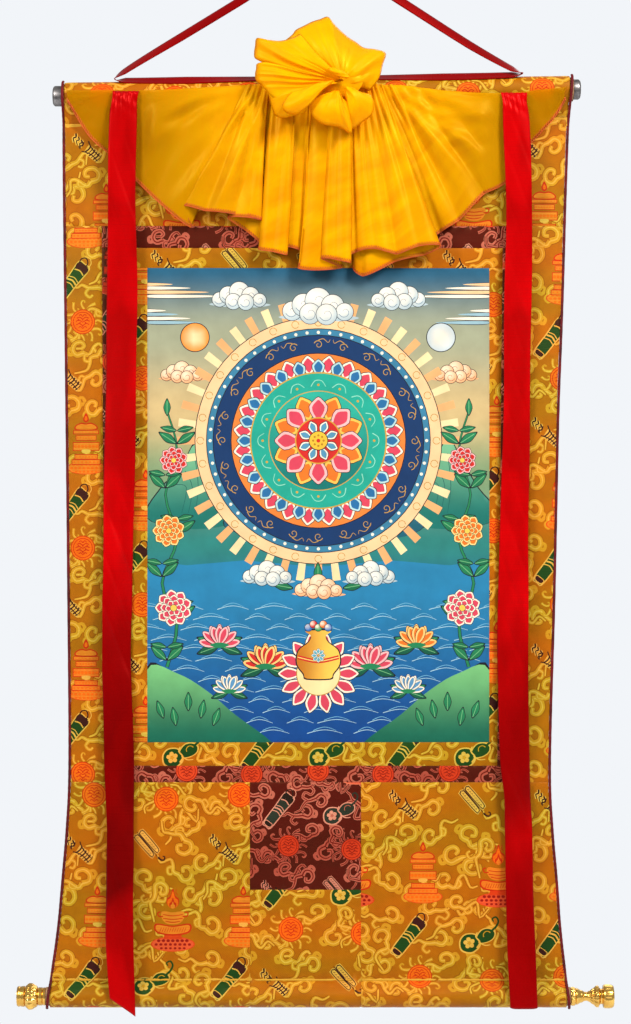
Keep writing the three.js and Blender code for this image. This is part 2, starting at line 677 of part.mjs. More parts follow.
function toGeometry(solid) {
  const mesh = solid.getMesh();
  const geometry = new THREE.BufferGeometry();
  geometry.setAttribute('position', new THREE.BufferAttribute(new Float32Array(mesh.vertProperties), 3));
  geometry.setIndex(new THREE.BufferAttribute(new Uint32Array(mesh.triVerts), 1));
  geometry.computeVertexNormals();
  return geometry;
}

// Fan and knot are one length of silk, so they are one solid
function addVeil() {
  const heart = warp(new THREE.SphereGeometry(1, 16, 10), (point) => point.set(
    KNOT.x + point.x * KNOT.radius * 1.6,
    KNOT.y + 5 + point.y * KNOT.depth,
    KNOT.z - 14 + point.z * KNOT.radius,
  ));
  const parts = [heart, ...veilLayers(), ...PUFFS.map(puff)];
  const veil = parts.map(toSolid).reduce((whole, solid) => whole.add(solid));
  addPiece('veil', toGeometry(veil.simplify(VEIL_TOLERANCE)), 'silk');
}

addPanels();
addSleevePanels();
addRod('top_rod', ROD, ROD.slope);
addRod('bottom_roller', ROLLER, 0);
addCaps();
addKnobs();
addBindings();
addRibbons();
addHangingRibbon();
addVeil();

export default group;
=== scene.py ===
import math
import random

import bmesh
import bpy
import numpy as np
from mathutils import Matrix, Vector, noise
from mathutils.geometry import delaunay_2d_cdt


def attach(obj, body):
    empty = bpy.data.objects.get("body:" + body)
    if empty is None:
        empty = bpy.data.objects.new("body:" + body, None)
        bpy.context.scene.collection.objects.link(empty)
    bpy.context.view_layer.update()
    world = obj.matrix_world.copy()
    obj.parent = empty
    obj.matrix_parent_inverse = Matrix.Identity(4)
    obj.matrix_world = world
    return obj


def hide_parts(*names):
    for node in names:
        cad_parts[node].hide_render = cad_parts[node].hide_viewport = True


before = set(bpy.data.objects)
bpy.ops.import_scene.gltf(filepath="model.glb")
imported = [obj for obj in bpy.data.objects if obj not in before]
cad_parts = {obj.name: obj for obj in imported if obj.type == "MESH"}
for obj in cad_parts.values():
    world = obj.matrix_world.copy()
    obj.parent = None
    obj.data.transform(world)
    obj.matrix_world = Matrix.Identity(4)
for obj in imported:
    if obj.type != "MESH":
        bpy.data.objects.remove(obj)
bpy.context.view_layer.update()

MM = 0.001

# Sizes in millimetres, the same as the solids have
BROCADE = 1.2
SILK = 0.5
SATIN = 0.9
SEAM = 0.02
PIPING = 3.0
HEIGHTS = {
    "top_seam": -334.3, "red_top_end": -361.1, "picture_top": -385.5, "picture_bottom": -963.8,
    "inner_end": -992.5, "red_end": -1012.6, "door_end": -1143.8,
}
PICTURE = (-208.0, 209.0)
DOOR = (-83.0, 52.5)
SIDE_SEAMS = [
    # z, red_left, inner_left, inner_right, red_right
    (-334.3, -263.5, -231.0, 225.7, 258.0),
    (-1012.6, -260.0, -227.0, 218.4, 255.0),
]
EDGES = [
    # z, left, right
    (-150, -311.8, 311.1), (-217, -311.6, 306.2), (-327, -311.1, 302.6), (-425, -310.0, 300.1),
    (-547, -308.7, 295.2), (-791, -306.2, 289.8), (-1004, -305.0, 284.3), (-1077, -308.7, 287.9),
    (-1132, -313.5, 292.8), (-1187, -318.4, 296.8), (-1242, -325.5, 302.6), (-1290, -331.6, 307.6),
]
ROD = {"radius": 14.6, "z": -171.8, "slope": 0.01333, "left": -311.5, "right": 310.8, "stitch": -207.0}
ROLLER = {"radius": 11.5, "z": -1273.7, "slope": 0.0, "left": -331.3, "right": 307.3, "stitch": -1254.0}
SLEEVE_EASE = 1.2


def lerp(a, b, t):
    return a + (b - a) * t


def clamp(value, low=0.0, high=1.0):
    return max(low, min(high, value))


def smoothstep(value, low, high):
    t = clamp((value - low) / (high - low))
    return t * t * (3 - 2 * t)


def reading(table, column, z):
    """One column of a table whose heights run down, read on a smooth curve between its rows."""
    last = len(table) - 1
    row = 0
    while row < last - 1 and z < table[row + 1][0]:
        row += 1
    a, b = table[row], table[row + 1]
    before, after = table[max(row - 1, 0)], table[min(row + 2, last)]
    span = b[0] - a[0]
    t = clamp((z - a[0]) / span)
    slope_in = (b[column] - before[column]) / (b[0] - before[0]) * span
    slope_out = (after[column] - a[column]) / (after[0] - a[0]) * span
    t2, t3 = t * t, t * t * t
    return ((2 * t3 - 3 * t2 + 1) * a[column] + (t3 - 2 * t2 + t) * slope_in
            + (3 * t2 - 2 * t3) * b[column] + (t3 - t2) * slope_out)


def edge_at(side):
    """The cloth's long edge at a height, read once a millimetre and kept."""
    column, inward = (1, 1) if side == "left" else (2, -1)
    kept = [reading(EDGES, column, -z) + inward * (PIPING + 0.2) for z in range(1400)]

    def edge(z):
        row = int(-z)
        return lerp(kept[row], kept[row + 1], -z - row)
    return edge


def seam_at(column, side):
    return lambda z: reading(SIDE_SEAMS, column, z) + side * SEAM / 2


def upright(x, side):
    return lambda z: x + side * SEAM / 2


def hang(x, z):
    """How far behind its plane the cloth hangs: slow ripples, and long edges that curl back."""
    free = smoothstep(z, ROLLER["stitch"], ROLLER["stitch"] + 60)
    free *= 1 - smoothstep(z, HEIGHTS["top_seam"] - 60, ROD["stitch"])
    ripple = 1.1 * math.sin(z / 78 + 0.4) * math.sin(x / 115 + z / 900 + 0.7)
    fold = 0.48 * math.sin(x / 47 + z / 210)
    curl = 7 * smoothstep(abs(x), 262, 316)
    return free * (ripple + fold + curl)


def bent(a, b, c, d, t):
    """A point between b and c, on the Catmull-Rom line through four points."""
    return tuple(0.5 * (2 * q + (r - p) * t + (2 * p - 5 * q + 4 * r - s) * t * t
                        + (3 * q - p - 3 * r + s) * t ** 3) for p, q, r, s in zip(a, b, c, d))


def smooth_line(points, steps=6, closed=False):
    """A Catmull-Rom line through points of any dimension."""
    count = len(points)
    line = []
    for span in range(count if closed else count - 1):
        four = [points[(span + k) % count if closed else clamp(span + k, 0, count - 1)]
                for k in (-1, 0, 1, 2)]
        line.extend(bent(*four, step / steps) for step in range(steps))
    return line if closed else line + [tuple(points[-1])]


def on_line(points, u):
    """A point at a share u of the spans of an open Catmull-Rom line."""
    last = len(points) - 1
    span = min(int(u * last), last - 1)
    return bent(*(points[clamp(span + k, 0, last)] for k in (-1, 0, 1, 2)), u * last - span)


def centripetal(four, t):
    """A point between the second and the third of four points, on a line that doesn't overshoot."""
    knots = [0.0]
    for a, b in zip(four, four[1:]):
        knots.append(knots[-1] + max((b - a).length ** 0.5, 1e-4))
    at = lerp(knots[1], knots[2], t)
    for depth in range(1, 4):
        four = [four[k].lerp(four[k + 1], (at - knots[k]) / (knots[k + depth] - knots[k]))
                for k in range(len(four) - 1)]
    return four[0]


def around(x, y, radius, angle, squash=1.0):
    """The place at a distance and an angle from a middle."""
    return x + radius * math.cos(angle), y + radius * squash * math.sin(angle)


def turned(points, x, y, angle, size=1.0, flip=1):
    """Points turned, sized and moved to a place."""
    cos, sin = math.cos(angle) * size, math.sin(angle) * size
    return [(x + cos * flip * px - sin * py, y + sin * flip * px + cos * py) for px, py in points]


# Colours and materials
def tint(red, green, blue, alpha=1.0):
    """A colour as it looks on a screen, from 0 to 255, as a linear one."""
    def linear(value):
        value /= 255
        return value / 12.92 if value <= 0.04045 else ((value + 0.055) / 1.055) ** 2.4
    return (linear(red), linear(green), linear(blue), alpha)


class Wire:
    """A socket of a material, so that its maths can be written as an expression."""

    def __init__(self, shop, socket):
        self.shop, self.socket = shop, socket

    def maths(self, operation, *others):
        return self.shop.node("ShaderNodeMath", {"operation": operation}, [self, *others])

    def __add__(self, other):
        return self.maths("ADD", other)

    __radd__ = __add__

    def __mul__(self, other):
        return self.maths("MULTIPLY", other)

    __rmul__ = __mul__

    def __sub__(self, other):
        return self.maths("SUBTRACT", other)

    def __rsub__(self, other):
        return self.shop.node("ShaderNodeMath", {"operation": "SUBTRACT"}, [other, self])

    def __truediv__(self, other):
        return self.maths("DIVIDE", other)

    def __pow__(self, other):
        return self.maths("POWER", other)


class Finish:
    """A material with one Principled shader, and the nodes that feed it."""

    def __init__(self, name, **constants):
        self.material = bpy.data.materials.new(name)
        self.material.use_nodes = True
        self.tree = self.material.node_tree
        self.shader = self.tree.nodes["Principled BSDF"]
        for socket, value in constants.items():
            self.shader.inputs[socket.replace("_", " ")].default_value = value

    def plug(self, target, value):
        if isinstance(value, Wire):
            self.tree.links.new(value.socket, target)
        else:
            target.default_value = value

    def node(self, kind, settings=None, sockets=(), output=0):
        made = self.tree.nodes.new(kind)
        for key, value in (settings or {}).items():
            if key == "stops":
                ramp = made.color_ramp
                while len(ramp.elements) < len(value):
                    ramp.elements.new(0.5)
                for element, (at, colour) in zip(ramp.elements, value):
                    element.position, element.color = at, colour
            else:
                setattr(made, key, value)
        pairs = sockets.items() if isinstance(sockets, dict) else enumerate(sockets)
        for key, value in pairs:
            self.plug(made.inputs[key], value)
        return Wire(self, made.outputs[output])

    def mix(self, factor, a, b, blend="MIX"):
        """Two colours mixed. The colour sockets of a Mix node are its inputs 6 and 7."""
        return self.node("ShaderNodeMix", {"data_type": "RGBA", "blend_type": blend},
                         {0: factor, 6: a, 7: b}, output=2)

    def place(self):
        return self.node("ShaderNodeTexCoord", output="Object")

    def flat(self):
        return self.node("ShaderNodeUVMap", {"uv_map": "cloth"})

    def stretched(self, where, scale, turn=0.0):
        return self.node("ShaderNodeMapping", {}, {
            "Vector": where, "Rotation": (0, 0, math.radians(turn)), "Scale": scale})

    def noise(self, where, scale, detail=3.0, roughness=0.5, distortion=0.0):
        return self.node("ShaderNodeTexNoise", {}, {
            "Vector": where, "Scale": scale, "Detail": detail, "Roughness": roughness,
            "Distortion": distortion})

    def wave(self, where, scale, direction="X", distortion=0.0, profile="SIN"):
        settings = {"wave_type": "BANDS", "bands_direction": direction, "wave_profile": profile}
        return self.node("ShaderNodeTexWave", settings, {
            "Vector": where, "Scale": scale, "Distortion": distortion, "Detail": 1.0}, output="Fac")

    def painted(self, output="Color"):
        return self.node("ShaderNodeVertexColor", {"layer_name": "paint"}, output=output)

    def ramp(self, value, *stops):
        return self.node("ShaderNodeValToRGB", {"stops": stops}, [value])

    def span(self, value, low, high, new_low, new_high):
        return self.node("ShaderNodeMapRange", {}, [value, low, high, new_low, new_high])

    def feed(self, **sockets):
        for socket, value in sockets.items():
            self.plug(self.shader.inputs[socket.replace("_", " ")], value)
        return self

    def bump(self, height, strength, distance):
        self.feed(Normal=self.node("ShaderNodeBump", {}, {
            "Height": height, "Strength": strength, "Distance": distance * MM}))
        return self


# Drawing on flat cloth: closed shapes in millimetres, each later one covers the earlier ones
class Drawing:
    def __init__(self):
        self.shapes = []

    def fill(self, points, paint):
        self.shapes.append(([tuple(point) for point in points], paint))

    def blob(self, points, paint, steps=4):
        self.fill(smooth_line(points, steps, closed=True), paint)

    def disc(self, x, y, radius, paint, squash=1.0, sides=18):
        self.fill([around(x, y, radius, math.tau * k / sides, squash) for k in range(sides)], paint)

    def bead_ring(self, x, y, reach, count, radius, paint):
        for k in range(count):
            self.disc(*around(x, y, reach, math.tau * k / count), radius, paint, sides=8)

    def stroke(self, points, width, paint, tip=None):
        """A line of the given width, which changes evenly to tip at its end."""
        tip = width if tip is None else tip
        left, right = [], []
        for index, (x, y) in enumerate(points):
            ahead, behind = points[min(index + 1, len(points) - 1)], points[max(index - 1, 0)]
            along = Vector((ahead[0] - behind[0], ahead[1] - behind[1]))
            if along.length < 1e-6:
                along = Vector((1, 0))
            half = lerp(width, tip, index / len(points)) / 2
            across = Vector((-along.y, along.x)).normalized() * half
            left.append((x + across.x, y + across.y))
            right.append((x - across.x, y - across.y))
        self.fill(left + right[::-1], paint)

    def curve(self, points, width, paint, tip=None, steps=4):
        self.stroke(smooth_line(points, steps), width, paint, tip)

    def stamp(self, other, x, y, turn=0.0, size=1.0, flip=1):
        """Another drawing, turned, sized and moved."""
        for points, paint in other.shapes:
            self.shapes.append((turned(points, x, y, math.radians(turn), size, flip), paint))


def arc(x, y, radius, start, end, count=10):
    return [around(x, y, radius, math.radians(lerp(start, end, k / count))) for k in range(count + 1)]


def spiral(x, y, outer, inner, start, turns, count=16):
    return [around(x, y, lerp(outer, inner, k / count), math.radians(start) + math.tau * turns * k / count)
            for k in range(count + 1)]


# The brocade's motifs, each round its own middle. Their paints are names that each colourway fills in.
def medallion():
    d = Drawing()
    d.disc(0, 0, 15.2, "line", sides=28)
    d.disc(0, 0, 14.2, "disc", sides=28)
    d.stroke(arc(0, 0, 11.8, 0, 360, count=26), 0.9, "line")
    for y, reach in ((7.6, 4.6), (4.4, 7.4), (0.6, 8.6), (-3.4, 8.0), (-7.0, 5.2)):
        wave = [(-reach, y), (-reach / 2, y + 1.3), (0, y - 0.9), (reach / 2, y + 1.3), (reach, y)]
        d.curve(wave, 1.1, "line")
    for x, y in ((-5.4, 2.9), (5.4, 2.9), (0, 2.4), (-3.4, -1.0), (3.4, -1.0), (0, -5.4)):
        d.disc(x, y, 0.9, "line", sides=8)
    return d


def curls(count=12, radius=20.5):
    """Short curled rays round a medallion."""
    hook = [(-5, -2.0), (-1.5, 0.6), (2.4, 1.8), (5.4, 0.2), (4.6, -2.6), (2.6, -2.2)]
    ray = Drawing()
    ray.curve(hook, 3.0, "cloud", tip=1.3, steps=2)
    ray.curve([(-4.4, -1.6), (-1.5, 0.8), (2.4, 1.8), (4.8, 0.3)], 1.0, "cloud_line", tip=0.6, steps=2)
    d = Drawing()
    for k in range(count):
        turn = 360 * k / count
        d.stamp(ray, *around(0, 0, radius, math.radians(turn)), turn, 1.0 + 0.16 * (k % 3),
                flip=1 if k % 2 else -1)
    return d


def book():
    """Two long leaves bound to a rod with a curled end."""
    d = Drawing()
    for y in (4.6, -5.4):
        for grow, paint in ((1.7, "pale"), (0.75, "ink"), (-0.55, "pale")):
            left, right = -20 - grow, 17 + grow
            top, low = y + 3.6 + grow, y - 3.6 - grow
            d.blob([(left, low + 2), (left - 1.6, y), (left, top - 2), (left + 3, top), (right - 3, top),
                    (right + 1.6, y + 0.6), (right - 1, low + 1), (left + 3, low)], paint, 3)
        for k in range(8):
            x = -17.5 + 4.2 * k
            d.stroke([(x, y - 1.6), (x + 1.6, y + 1.7), (x + 2.4, y - 0.6)], 0.8, "ink")
    d.stroke([(-24, -0.4), (24, -0.4)], 1.1, "ink")
    d.curve([(25, -0.6), (31, 0.4), (34, 4), (31, 7.4), (28.5, 5.6)], 3.0, "ink", tip=1.4)
    return d


def tied_ribbon():
    """A bundle tied with a fluttering ribbon, in dark broken strokes."""
    d = Drawing()
    for grow, paint, tip in ((1.6, "pale", None), (0, "ink", 1.0)):
        for k, width in enumerate((2.4, 2.0, 2.2)):
            x = -19 + 5.2 * k
            d.curve([(x - 3, 5 - k), (x, 1.5), (x - 1.6, -1.4), (x + 2.6, -4.6)], width + grow, paint, tip)
    d.fill([(-1, 5.4), (20, 6.6), (22, -5.8), (1, -6.6)], "pale")
    for k in range(6):
        x = 2 + 3.5 * k
        d.curve([(x, 5.4), (x + 0.9, 0.6), (x - 0.4, -5.6)], 1.1 if k % 2 else 1.9, "ink", steps=3)
    d.curve([(-4, 8), (1, 5.2), (9, 3.0), (19, 2.6)], 1.5, "ink")
    d.curve([(-2, -7), (6, -3.4), (13, -2.4), (21, -3.8)], 1.3, "ink")
    d.curve([(-8, 3), (-6, -1), (-8.6, -4.6), (-5, -6)], 2.2, "ink", tip=1.0)
    return d


def lotus_foot(width, paint, spots):
    d = Drawing()
    d.disc(0, 0, width / 2, "rim", squash=0.34, sides=26)
    d.disc(0, 0, width / 2 - 1.4, paint, squash=0.33, sides=26)
    for row, (y, reach, count) in enumerate(((4.2, 0.74, 7), (-0.4, 0.86, 8), (-5, 0.62, 6))):
        for k in range(count):
            x = lerp(-1, 1, (k + 0.5) / count) * reach * width / 2
            d.disc(x, y, 2.3 - 0.25 * row, spots, squash=0.78, sides=8)
    return d


def block(d, y, reach, tall, paint):
    low, top = y - tall / 2, y + tall / 2
    d.fill([(-reach, low), (reach, low), (reach, top), (-reach, top)], paint)


def lamp():
    """A butter lamp on a drum and a lotus foot."""
    d = Drawing()
    d.stamp(lotus_foot(54, "foot", "spot"), 0, -36)
    d.fill([(-12, -30), (12, -30), (10, -24), (-10, -24)], "rim")
    d.blob([(-20, -22), (0, -25.5), (20, -22), (21, -11), (0, -13.6), (-21, -11)], "line")
    d.blob([(-18.4, -20.6), (0, -23.8), (18.4, -20.6), (19.2, -12.6), (0, -15.2), (-19.2, -12.6)], "tier")
    for k in range(11):
        x = -15 + 3 * k
        d.stroke([(x - 1.2, -21.4), (x + 1.2, -15.8)], 0.7, "line")
    d.blob([(-9, -10), (-14, -3), (-12.5, 4), (0, 2.6), (12.5, 4), (14, -3), (9, -10), (0, -12)], "tier")
    for side in (-1, 1):
        handle = [(side * 12, -2), (side * 16.5, -2.4), (side * 18.6, 1.6), (side * 15, 3.4)]
        d.curve(handle, 1.5, "line")
    for y, reach in ((-8, 9), (-4.4, 12), (0, 12)):
        d.curve([(-reach, y), (0, y - 1.5), (reach, y)], 1.0, "line")
    flame = [(0, 0), (-7, 5), (-7.4, 12), (-3.2, 16), (0, 25), (3.2, 16), (7.4, 12), (7, 5)]
    for size, paint in ((1.0, "line"), (0.86, "disc"), (0.55, "line"), (0.36, "tier")):
        d.blob([(x * size, 7 + y * size) for x, y in flame], paint)
    for side in (-1, 1):
        d.stroke([(side * 6, 24), (side * 3.4, 27), (side * 4.4, 31)], 0.9, "line")
    return d


def stupa():
    """Tiers under a dome and a jewel."""
    d = Drawing()
    d.stamp(lotus_foot(50, "tier", "disc"), 0, -36, size=0.96)
    for y, reach, tall in ((-29, 17, 5), (-22.6, 13.5, 4.6), (-10, 15.5, 9), (0.5, 12, 5), (7.5, 15, 3.4)):
        block(d, y, reach + 0.9, tall + 1.8, "line")
        block(d, y, reach, tall, "tier")
        for k in range(7):
            d.disc(lerp(-reach, reach, (k + 0.5) / 7), y, tall * 0.24, "disc", sides=6)
    d.blob([(-4, -18), (-5, -14), (5, -14), (4, -18)], "pale", 3)
    d.blob([(-12, 10), (-13.5, 15), (-6, 19), (0, 18), (6, 19), (13.5, 15), (12, 10)], "line")
    d.blob([(-10.6, 11), (-12, 14.6), (-6, 17.4), (0, 16.6), (6, 17.4), (12, 14.6), (10.6, 11)], "tier")
    d.blob([(0, 19), (-3.6, 23), (0, 31), (3.6, 23)], "line")
    d.blob([(0, 21), (-2, 23.6), (0, 27.6), (2, 23.6)], "disc", 3)
    return d


def tube():
    """A rolled scroll with bands, tied near one end."""
    d = Drawing()
    for grow, paint in ((1.5, "pale"), (0, "green")):
        thin, thick, end = 6.4 + grow, 8.2 + grow, 7.4 + grow
        d.blob([(-29 - grow, -thin), (-31 - grow, 0), (-29 - grow, thin), (0, end), (25 + grow, thick),
                (27 + grow, 0), (25 + grow, -thick), (0, -end)], paint, 3)
    d.blob([(-30, -6), (-31.4, 0), (-30, 6), (-24, 6.6), (-23, 0), (-24, -6.6)], "pale", 3)
    d.blob([(-29, -5), (-30, 0), (-29, 5), (-24.6, 5.6), (-24, 0), (-24.6, -5.6)], "ink", 3)
    d.blob([(17, -8), (16, 0), (17, 8), (25, 8.4), (27.4, 0), (25, -8.4)], "ink", 3)
    for x, width in ((-6, 1.4), (-1, 2.2), (3.4, 1.2), (15, 1.6)):
        d.curve([(x - 0.6, -7.2), (x + 1.8, 0), (x - 0.6, 7.2)], width, "pale")
    d.curve([(24, 7), (31, 8), (35, 3), (31, -2.4), (25, -3)], 1.7, "ink")
    d.curve([(26, -6), (33, -6.4), (37.5, -1), (36, 6)], 1.1, "pale")
    return d


def gourd():
    """A double gourd with a curled stem, a knotted sash and a small flower."""
    d = Drawing()
    bodies = [
        [(-24, -4), (-23, -13), (-13, -17), (-4, -12), (-2.4, -5), (-6, 2), (-14, 4), (-20, 2)],
        [(-4.6, -6), (-3.4, 0.6), (3, 6.6), (11, 7), (16.4, 2.6), (15, -3.4), (9, -7), (1, -8)],
    ]
    for grow, paint in ((1.16, "pale"), (1.0, "green")):
        for points in bodies:
            mx, my = (sum(point[k] for point in points) / len(points) for k in (0, 1))
            d.blob([(mx + (x - mx) * grow, my + (y - my) * grow) for x, y in points], paint)
    d.curve([(13, 4), (19, 8), (23, 14), (21, 19.4), (16.4, 18), (17.6, 14.6)], 2.6, "green", tip=1.6)
    d.curve([(-6, -13), (-1.6, -7), (-5.4, 0), (-3, 5)], 2.0, "pale", tip=1.2)
    d.curve([(-3, -6), (3, -11), (10, -11.6)], 1.8, "pale", tip=0.8)
    for k in range(5):
        d.disc(*around(-14, -6, 4.2, math.radians(72 * k + 20)), 2.7, "pale", sides=8)
    d.disc(-14, -6, 1.9, "cloud", sides=8)
    d.stroke(arc(8, 0, 4.6, 30, 200, count=8), 0.9, "cloud")
    return d


def cloud_scroll(seed, rng):
    """One curled cloud: a broad band that wanders off from a hooked head, with a lobe on each side."""
    size = rng.uniform(0.85, 1.15)
    bend = [rng.uniform(-7, 7) for _ in range(3)]
    head = [(-4, -6), (4, -8), (9, -2), (6, 6), (-2, 8), (-6, 3), (-2, -0.5)]
    head = [(x * size, y * size) for x, y in head]
    tail = [(-4 * size, -6 * size), (-12, -8 + bend[0] * 0.4), (-18, -2 + bend[1]), (-25, 1 + bend[1]),
            (-31, -7 + bend[2]), (-40, -5 + bend[0])]
    lobe = [(x * size, y * size) for x, y in ((8, -6), (14, -7), (15, -1), (11, 1))]
    flick = [(x, y + bend[1]) for x, y in ((-16, -3), (-20, -9), (-15, -14), (-11, -11))]
    body = Drawing()
    for paint, extra in (("shade", 1.7), ("cloud", 0.0)):
        body.curve(tail, 6.6 * size + extra, paint, tip=2.0 + extra, steps=3)
        body.curve(head, 7.2 * size + extra, paint, tip=4.6 + extra, steps=3)
    body.curve(lobe, 5.0, "cloud", tip=3.4, steps=3)
    body.curve(flick, 4.6, "cloud", tip=3.0, steps=3)
    for line, width in ((tail, 1.9), (head, 1.9), (flick, 1.3)):
        body.curve(line, width, "cloud_line", tip=0.8, steps=3)
    d = Drawing()
    d.stamp(body, 0, 0, flip=1 if seed % 2 else -1)
    return d


REPEAT = (178.0, 276.0)
MOTIFS = [
    # motif, x, y, turn, size
    (medallion, 0, 0, 0, 1.0), (medallion, 88, -5, 0, 1.0),
    (tied_ribbon, -20, -66, -42, 1.0), (book, 65, -60, -50, 0.82),
    (stupa, 4, -142, 0, 1.0), (lamp, 96, -146, 0, 1.0),
    (tube, -13, -226, 52, 0.92), (gourd, 74, -226, 8, 1.05),
]


def repeat_cell():
    """One repeat of the brocade, as two drawings: cloud scrolls in the gaps, and the motifs over them."""
    clouds, figures = Drawing(), Drawing()
    for x, y in ((0, 0), (88, -5)):
        clouds.stamp(curls(), x, y)
    rng = random.Random(11)
    taken = [(x, y, 30) for _, x, y, _, _ in MOTIFS]
    for seed in range(900):
        x, y = rng.uniform(-20, REPEAT[0] - 20), rng.uniform(-REPEAT[1] + 20, 20)
        turn = rng.choice((0, 35, 90, 140, 180, 215, 270, 320)) + rng.uniform(-14, 14)
        near = False
        for tx, ty, room in taken:
            dx = (x - tx + REPEAT[0] / 2) % REPEAT[0] - REPEAT[0] / 2
            dy = (y - ty + REPEAT[1] / 2) % REPEAT[1] - REPEAT[1] / 2
            near = near or math.hypot(dx, dy) < room
        if near:
            continue
        taken.append((x, y, 25))
        clouds.stamp(cloud_scroll(seed, rng), x, y, turn)
    for motif, x, y, turn, size in MOTIFS:
        figures.stamp(motif(), x, y, turn, size)
    return clouds, figures


CELL_LAYERS = repeat_cell()

# The colours of the two brocades. The last number says how a thread lies: 0 ground, 0.5 cloud, 1 figure.
GOLD_THREADS = {
    "ground": tint(174, 98, 0, 0.0), "shade": tint(146, 76, 0, 0.0), "cloud": tint(206, 144, 36, 0.5),
    "cloud_line": tint(224, 170, 78, 0.5),
    "ink": tint(50, 4, 22, 1.0), "green": tint(0, 62, 26, 1.0), "pale": tint(224, 170, 84, 0.5),
    "line": tint(196, 34, 4, 1.0), "disc": tint(232, 100, 10, 1.0), "tier": tint(226, 122, 36, 1.0),
    "rim": tint(212, 58, 20, 1.0), "foot": tint(220, 80, 50, 1.0), "spot": tint(146, 4, 12, 1.0),
}
RED_THREADS = {
    "ground": tint(78, 0, 3, 0.0), "shade": tint(48, 0, 2, 0.0), "cloud": tint(184, 96, 74, 0.5),
    "cloud_line": tint(110, 4, 8, 0.5),
    "ink": tint(20, 10, 12, 1.0), "green": tint(30, 42, 34, 1.0), "pale": tint(212, 138, 110, 1.0),
    "line": tint(140, 8, 6, 1.0), "disc": tint(216, 66, 28, 1.0), "tier": tint(200, 62, 40, 1.0),
    "rim": tint(230, 118, 80, 1.0), "foot": tint(206, 84, 56, 1.0), "spot": tint(110, 4, 12, 1.0),
}


def covered(line, spots):
    """Which spots lie inside a closed line, also where it crosses itself."""
    x, y = spots[:, 0, None], spots[:, 1, None]
    (x0, y0), (x1, y1) = line.T, np.roll(line, -1, axis=0).T
    side = (x1 - x0) * (y - y0) - (x - x0) * (y1 - y0)
    rising = ((y0 <= y) & (y1 > y) & (side > 0)).sum(1)
    falling = ((y0 > y) & (y1 <= y) & (side < 0)).sum(1)
    return rising != falling


def cut_flat(outline, inner_lines, inner_points):
    """Triangles that fill a flat outline, with the inner lines among their edges."""
    flat = [Vector(point) for point in outline]
    edges = []
    for line in inner_lines:
        start, count = len(flat), len(line)
        flat.extend(Vector(point) for point in line)
        edges.extend((start + k, start + (k + 1) % count) for k in range(count))
    flat.extend(Vector(point) for point in inner_points)
    points, _, triangles, sources, _, owners = delaunay_2d_cdt(
        flat, edges, [list(range(len(outline)))], 0, 1e-3, True)
    kept = []
    for triangle, owner in zip(triangles, owners):
        if owner:
            a, b, c = (points[k] for k in triangle)
            kept.append(tuple(triangle) if (b - a).cross(c - a) >= 0 else tuple(triangle)[::-1])
    return [tuple(point) for point in points], kept, sources


def laid_drawing(outline, grid, drawing, tell_paint):
    """The drawing cut into a flat outline: its points, triangles and the colour of each corner."""
    low, high = np.min(outline, axis=0), np.max(outline, axis=0)
    shapes = []
    for points, paint in drawing.shapes:
        line = np.array(points)
        if (line.max(0) > low).all() and (line.min(0) < high).all():
            shapes.append((line, paint))
    points, triangles, _ = cut_flat(outline, [line for line, _ in shapes], grid)
    places = np.array(points)
    corners = np.array(triangles)
    middles = places[corners].mean(1)
    order = np.argsort(middles[:, 0])
    corners, middles = corners[order], middles[order]
    top = np.full(len(corners), -1)
    for index, (line, _) in enumerate(shapes):
        first, last = np.searchsorted(middles[:, 0], (line[:, 0].min(), line[:, 0].max()))
        heights = middles[first:last, 1]
        near = first + np.flatnonzero((heights > line[:, 1].min()) & (heights < line[:, 1].max()))
        top[near[covered(line, middles[near])]] = index
    triangles = [tuple(int(k) for k in row) for row in corners]
    paints = [[tell_paint(shapes[index][1] if index >= 0 else "ground", *points[k]) for k in row]
              for row, index in zip(triangles, top)]
    return points, triangles, paints


def rim_of(triangles):
    """The outer points of a flat set of triangles, in order."""
    edges = {pair for a, b, c in triangles for pair in ((a, b), (b, c), (c, a))}
    ahead = {a: b for a, b in edges if (b, a) not in edges}
    rim = [min(ahead)]
    for _ in range(len(ahead) - 1):
        rim.append(ahead[rim[-1]])
    if len(set(rim)) != len(ahead):
        raise ValueError("the outer edge isn't one closed line")
    return rim


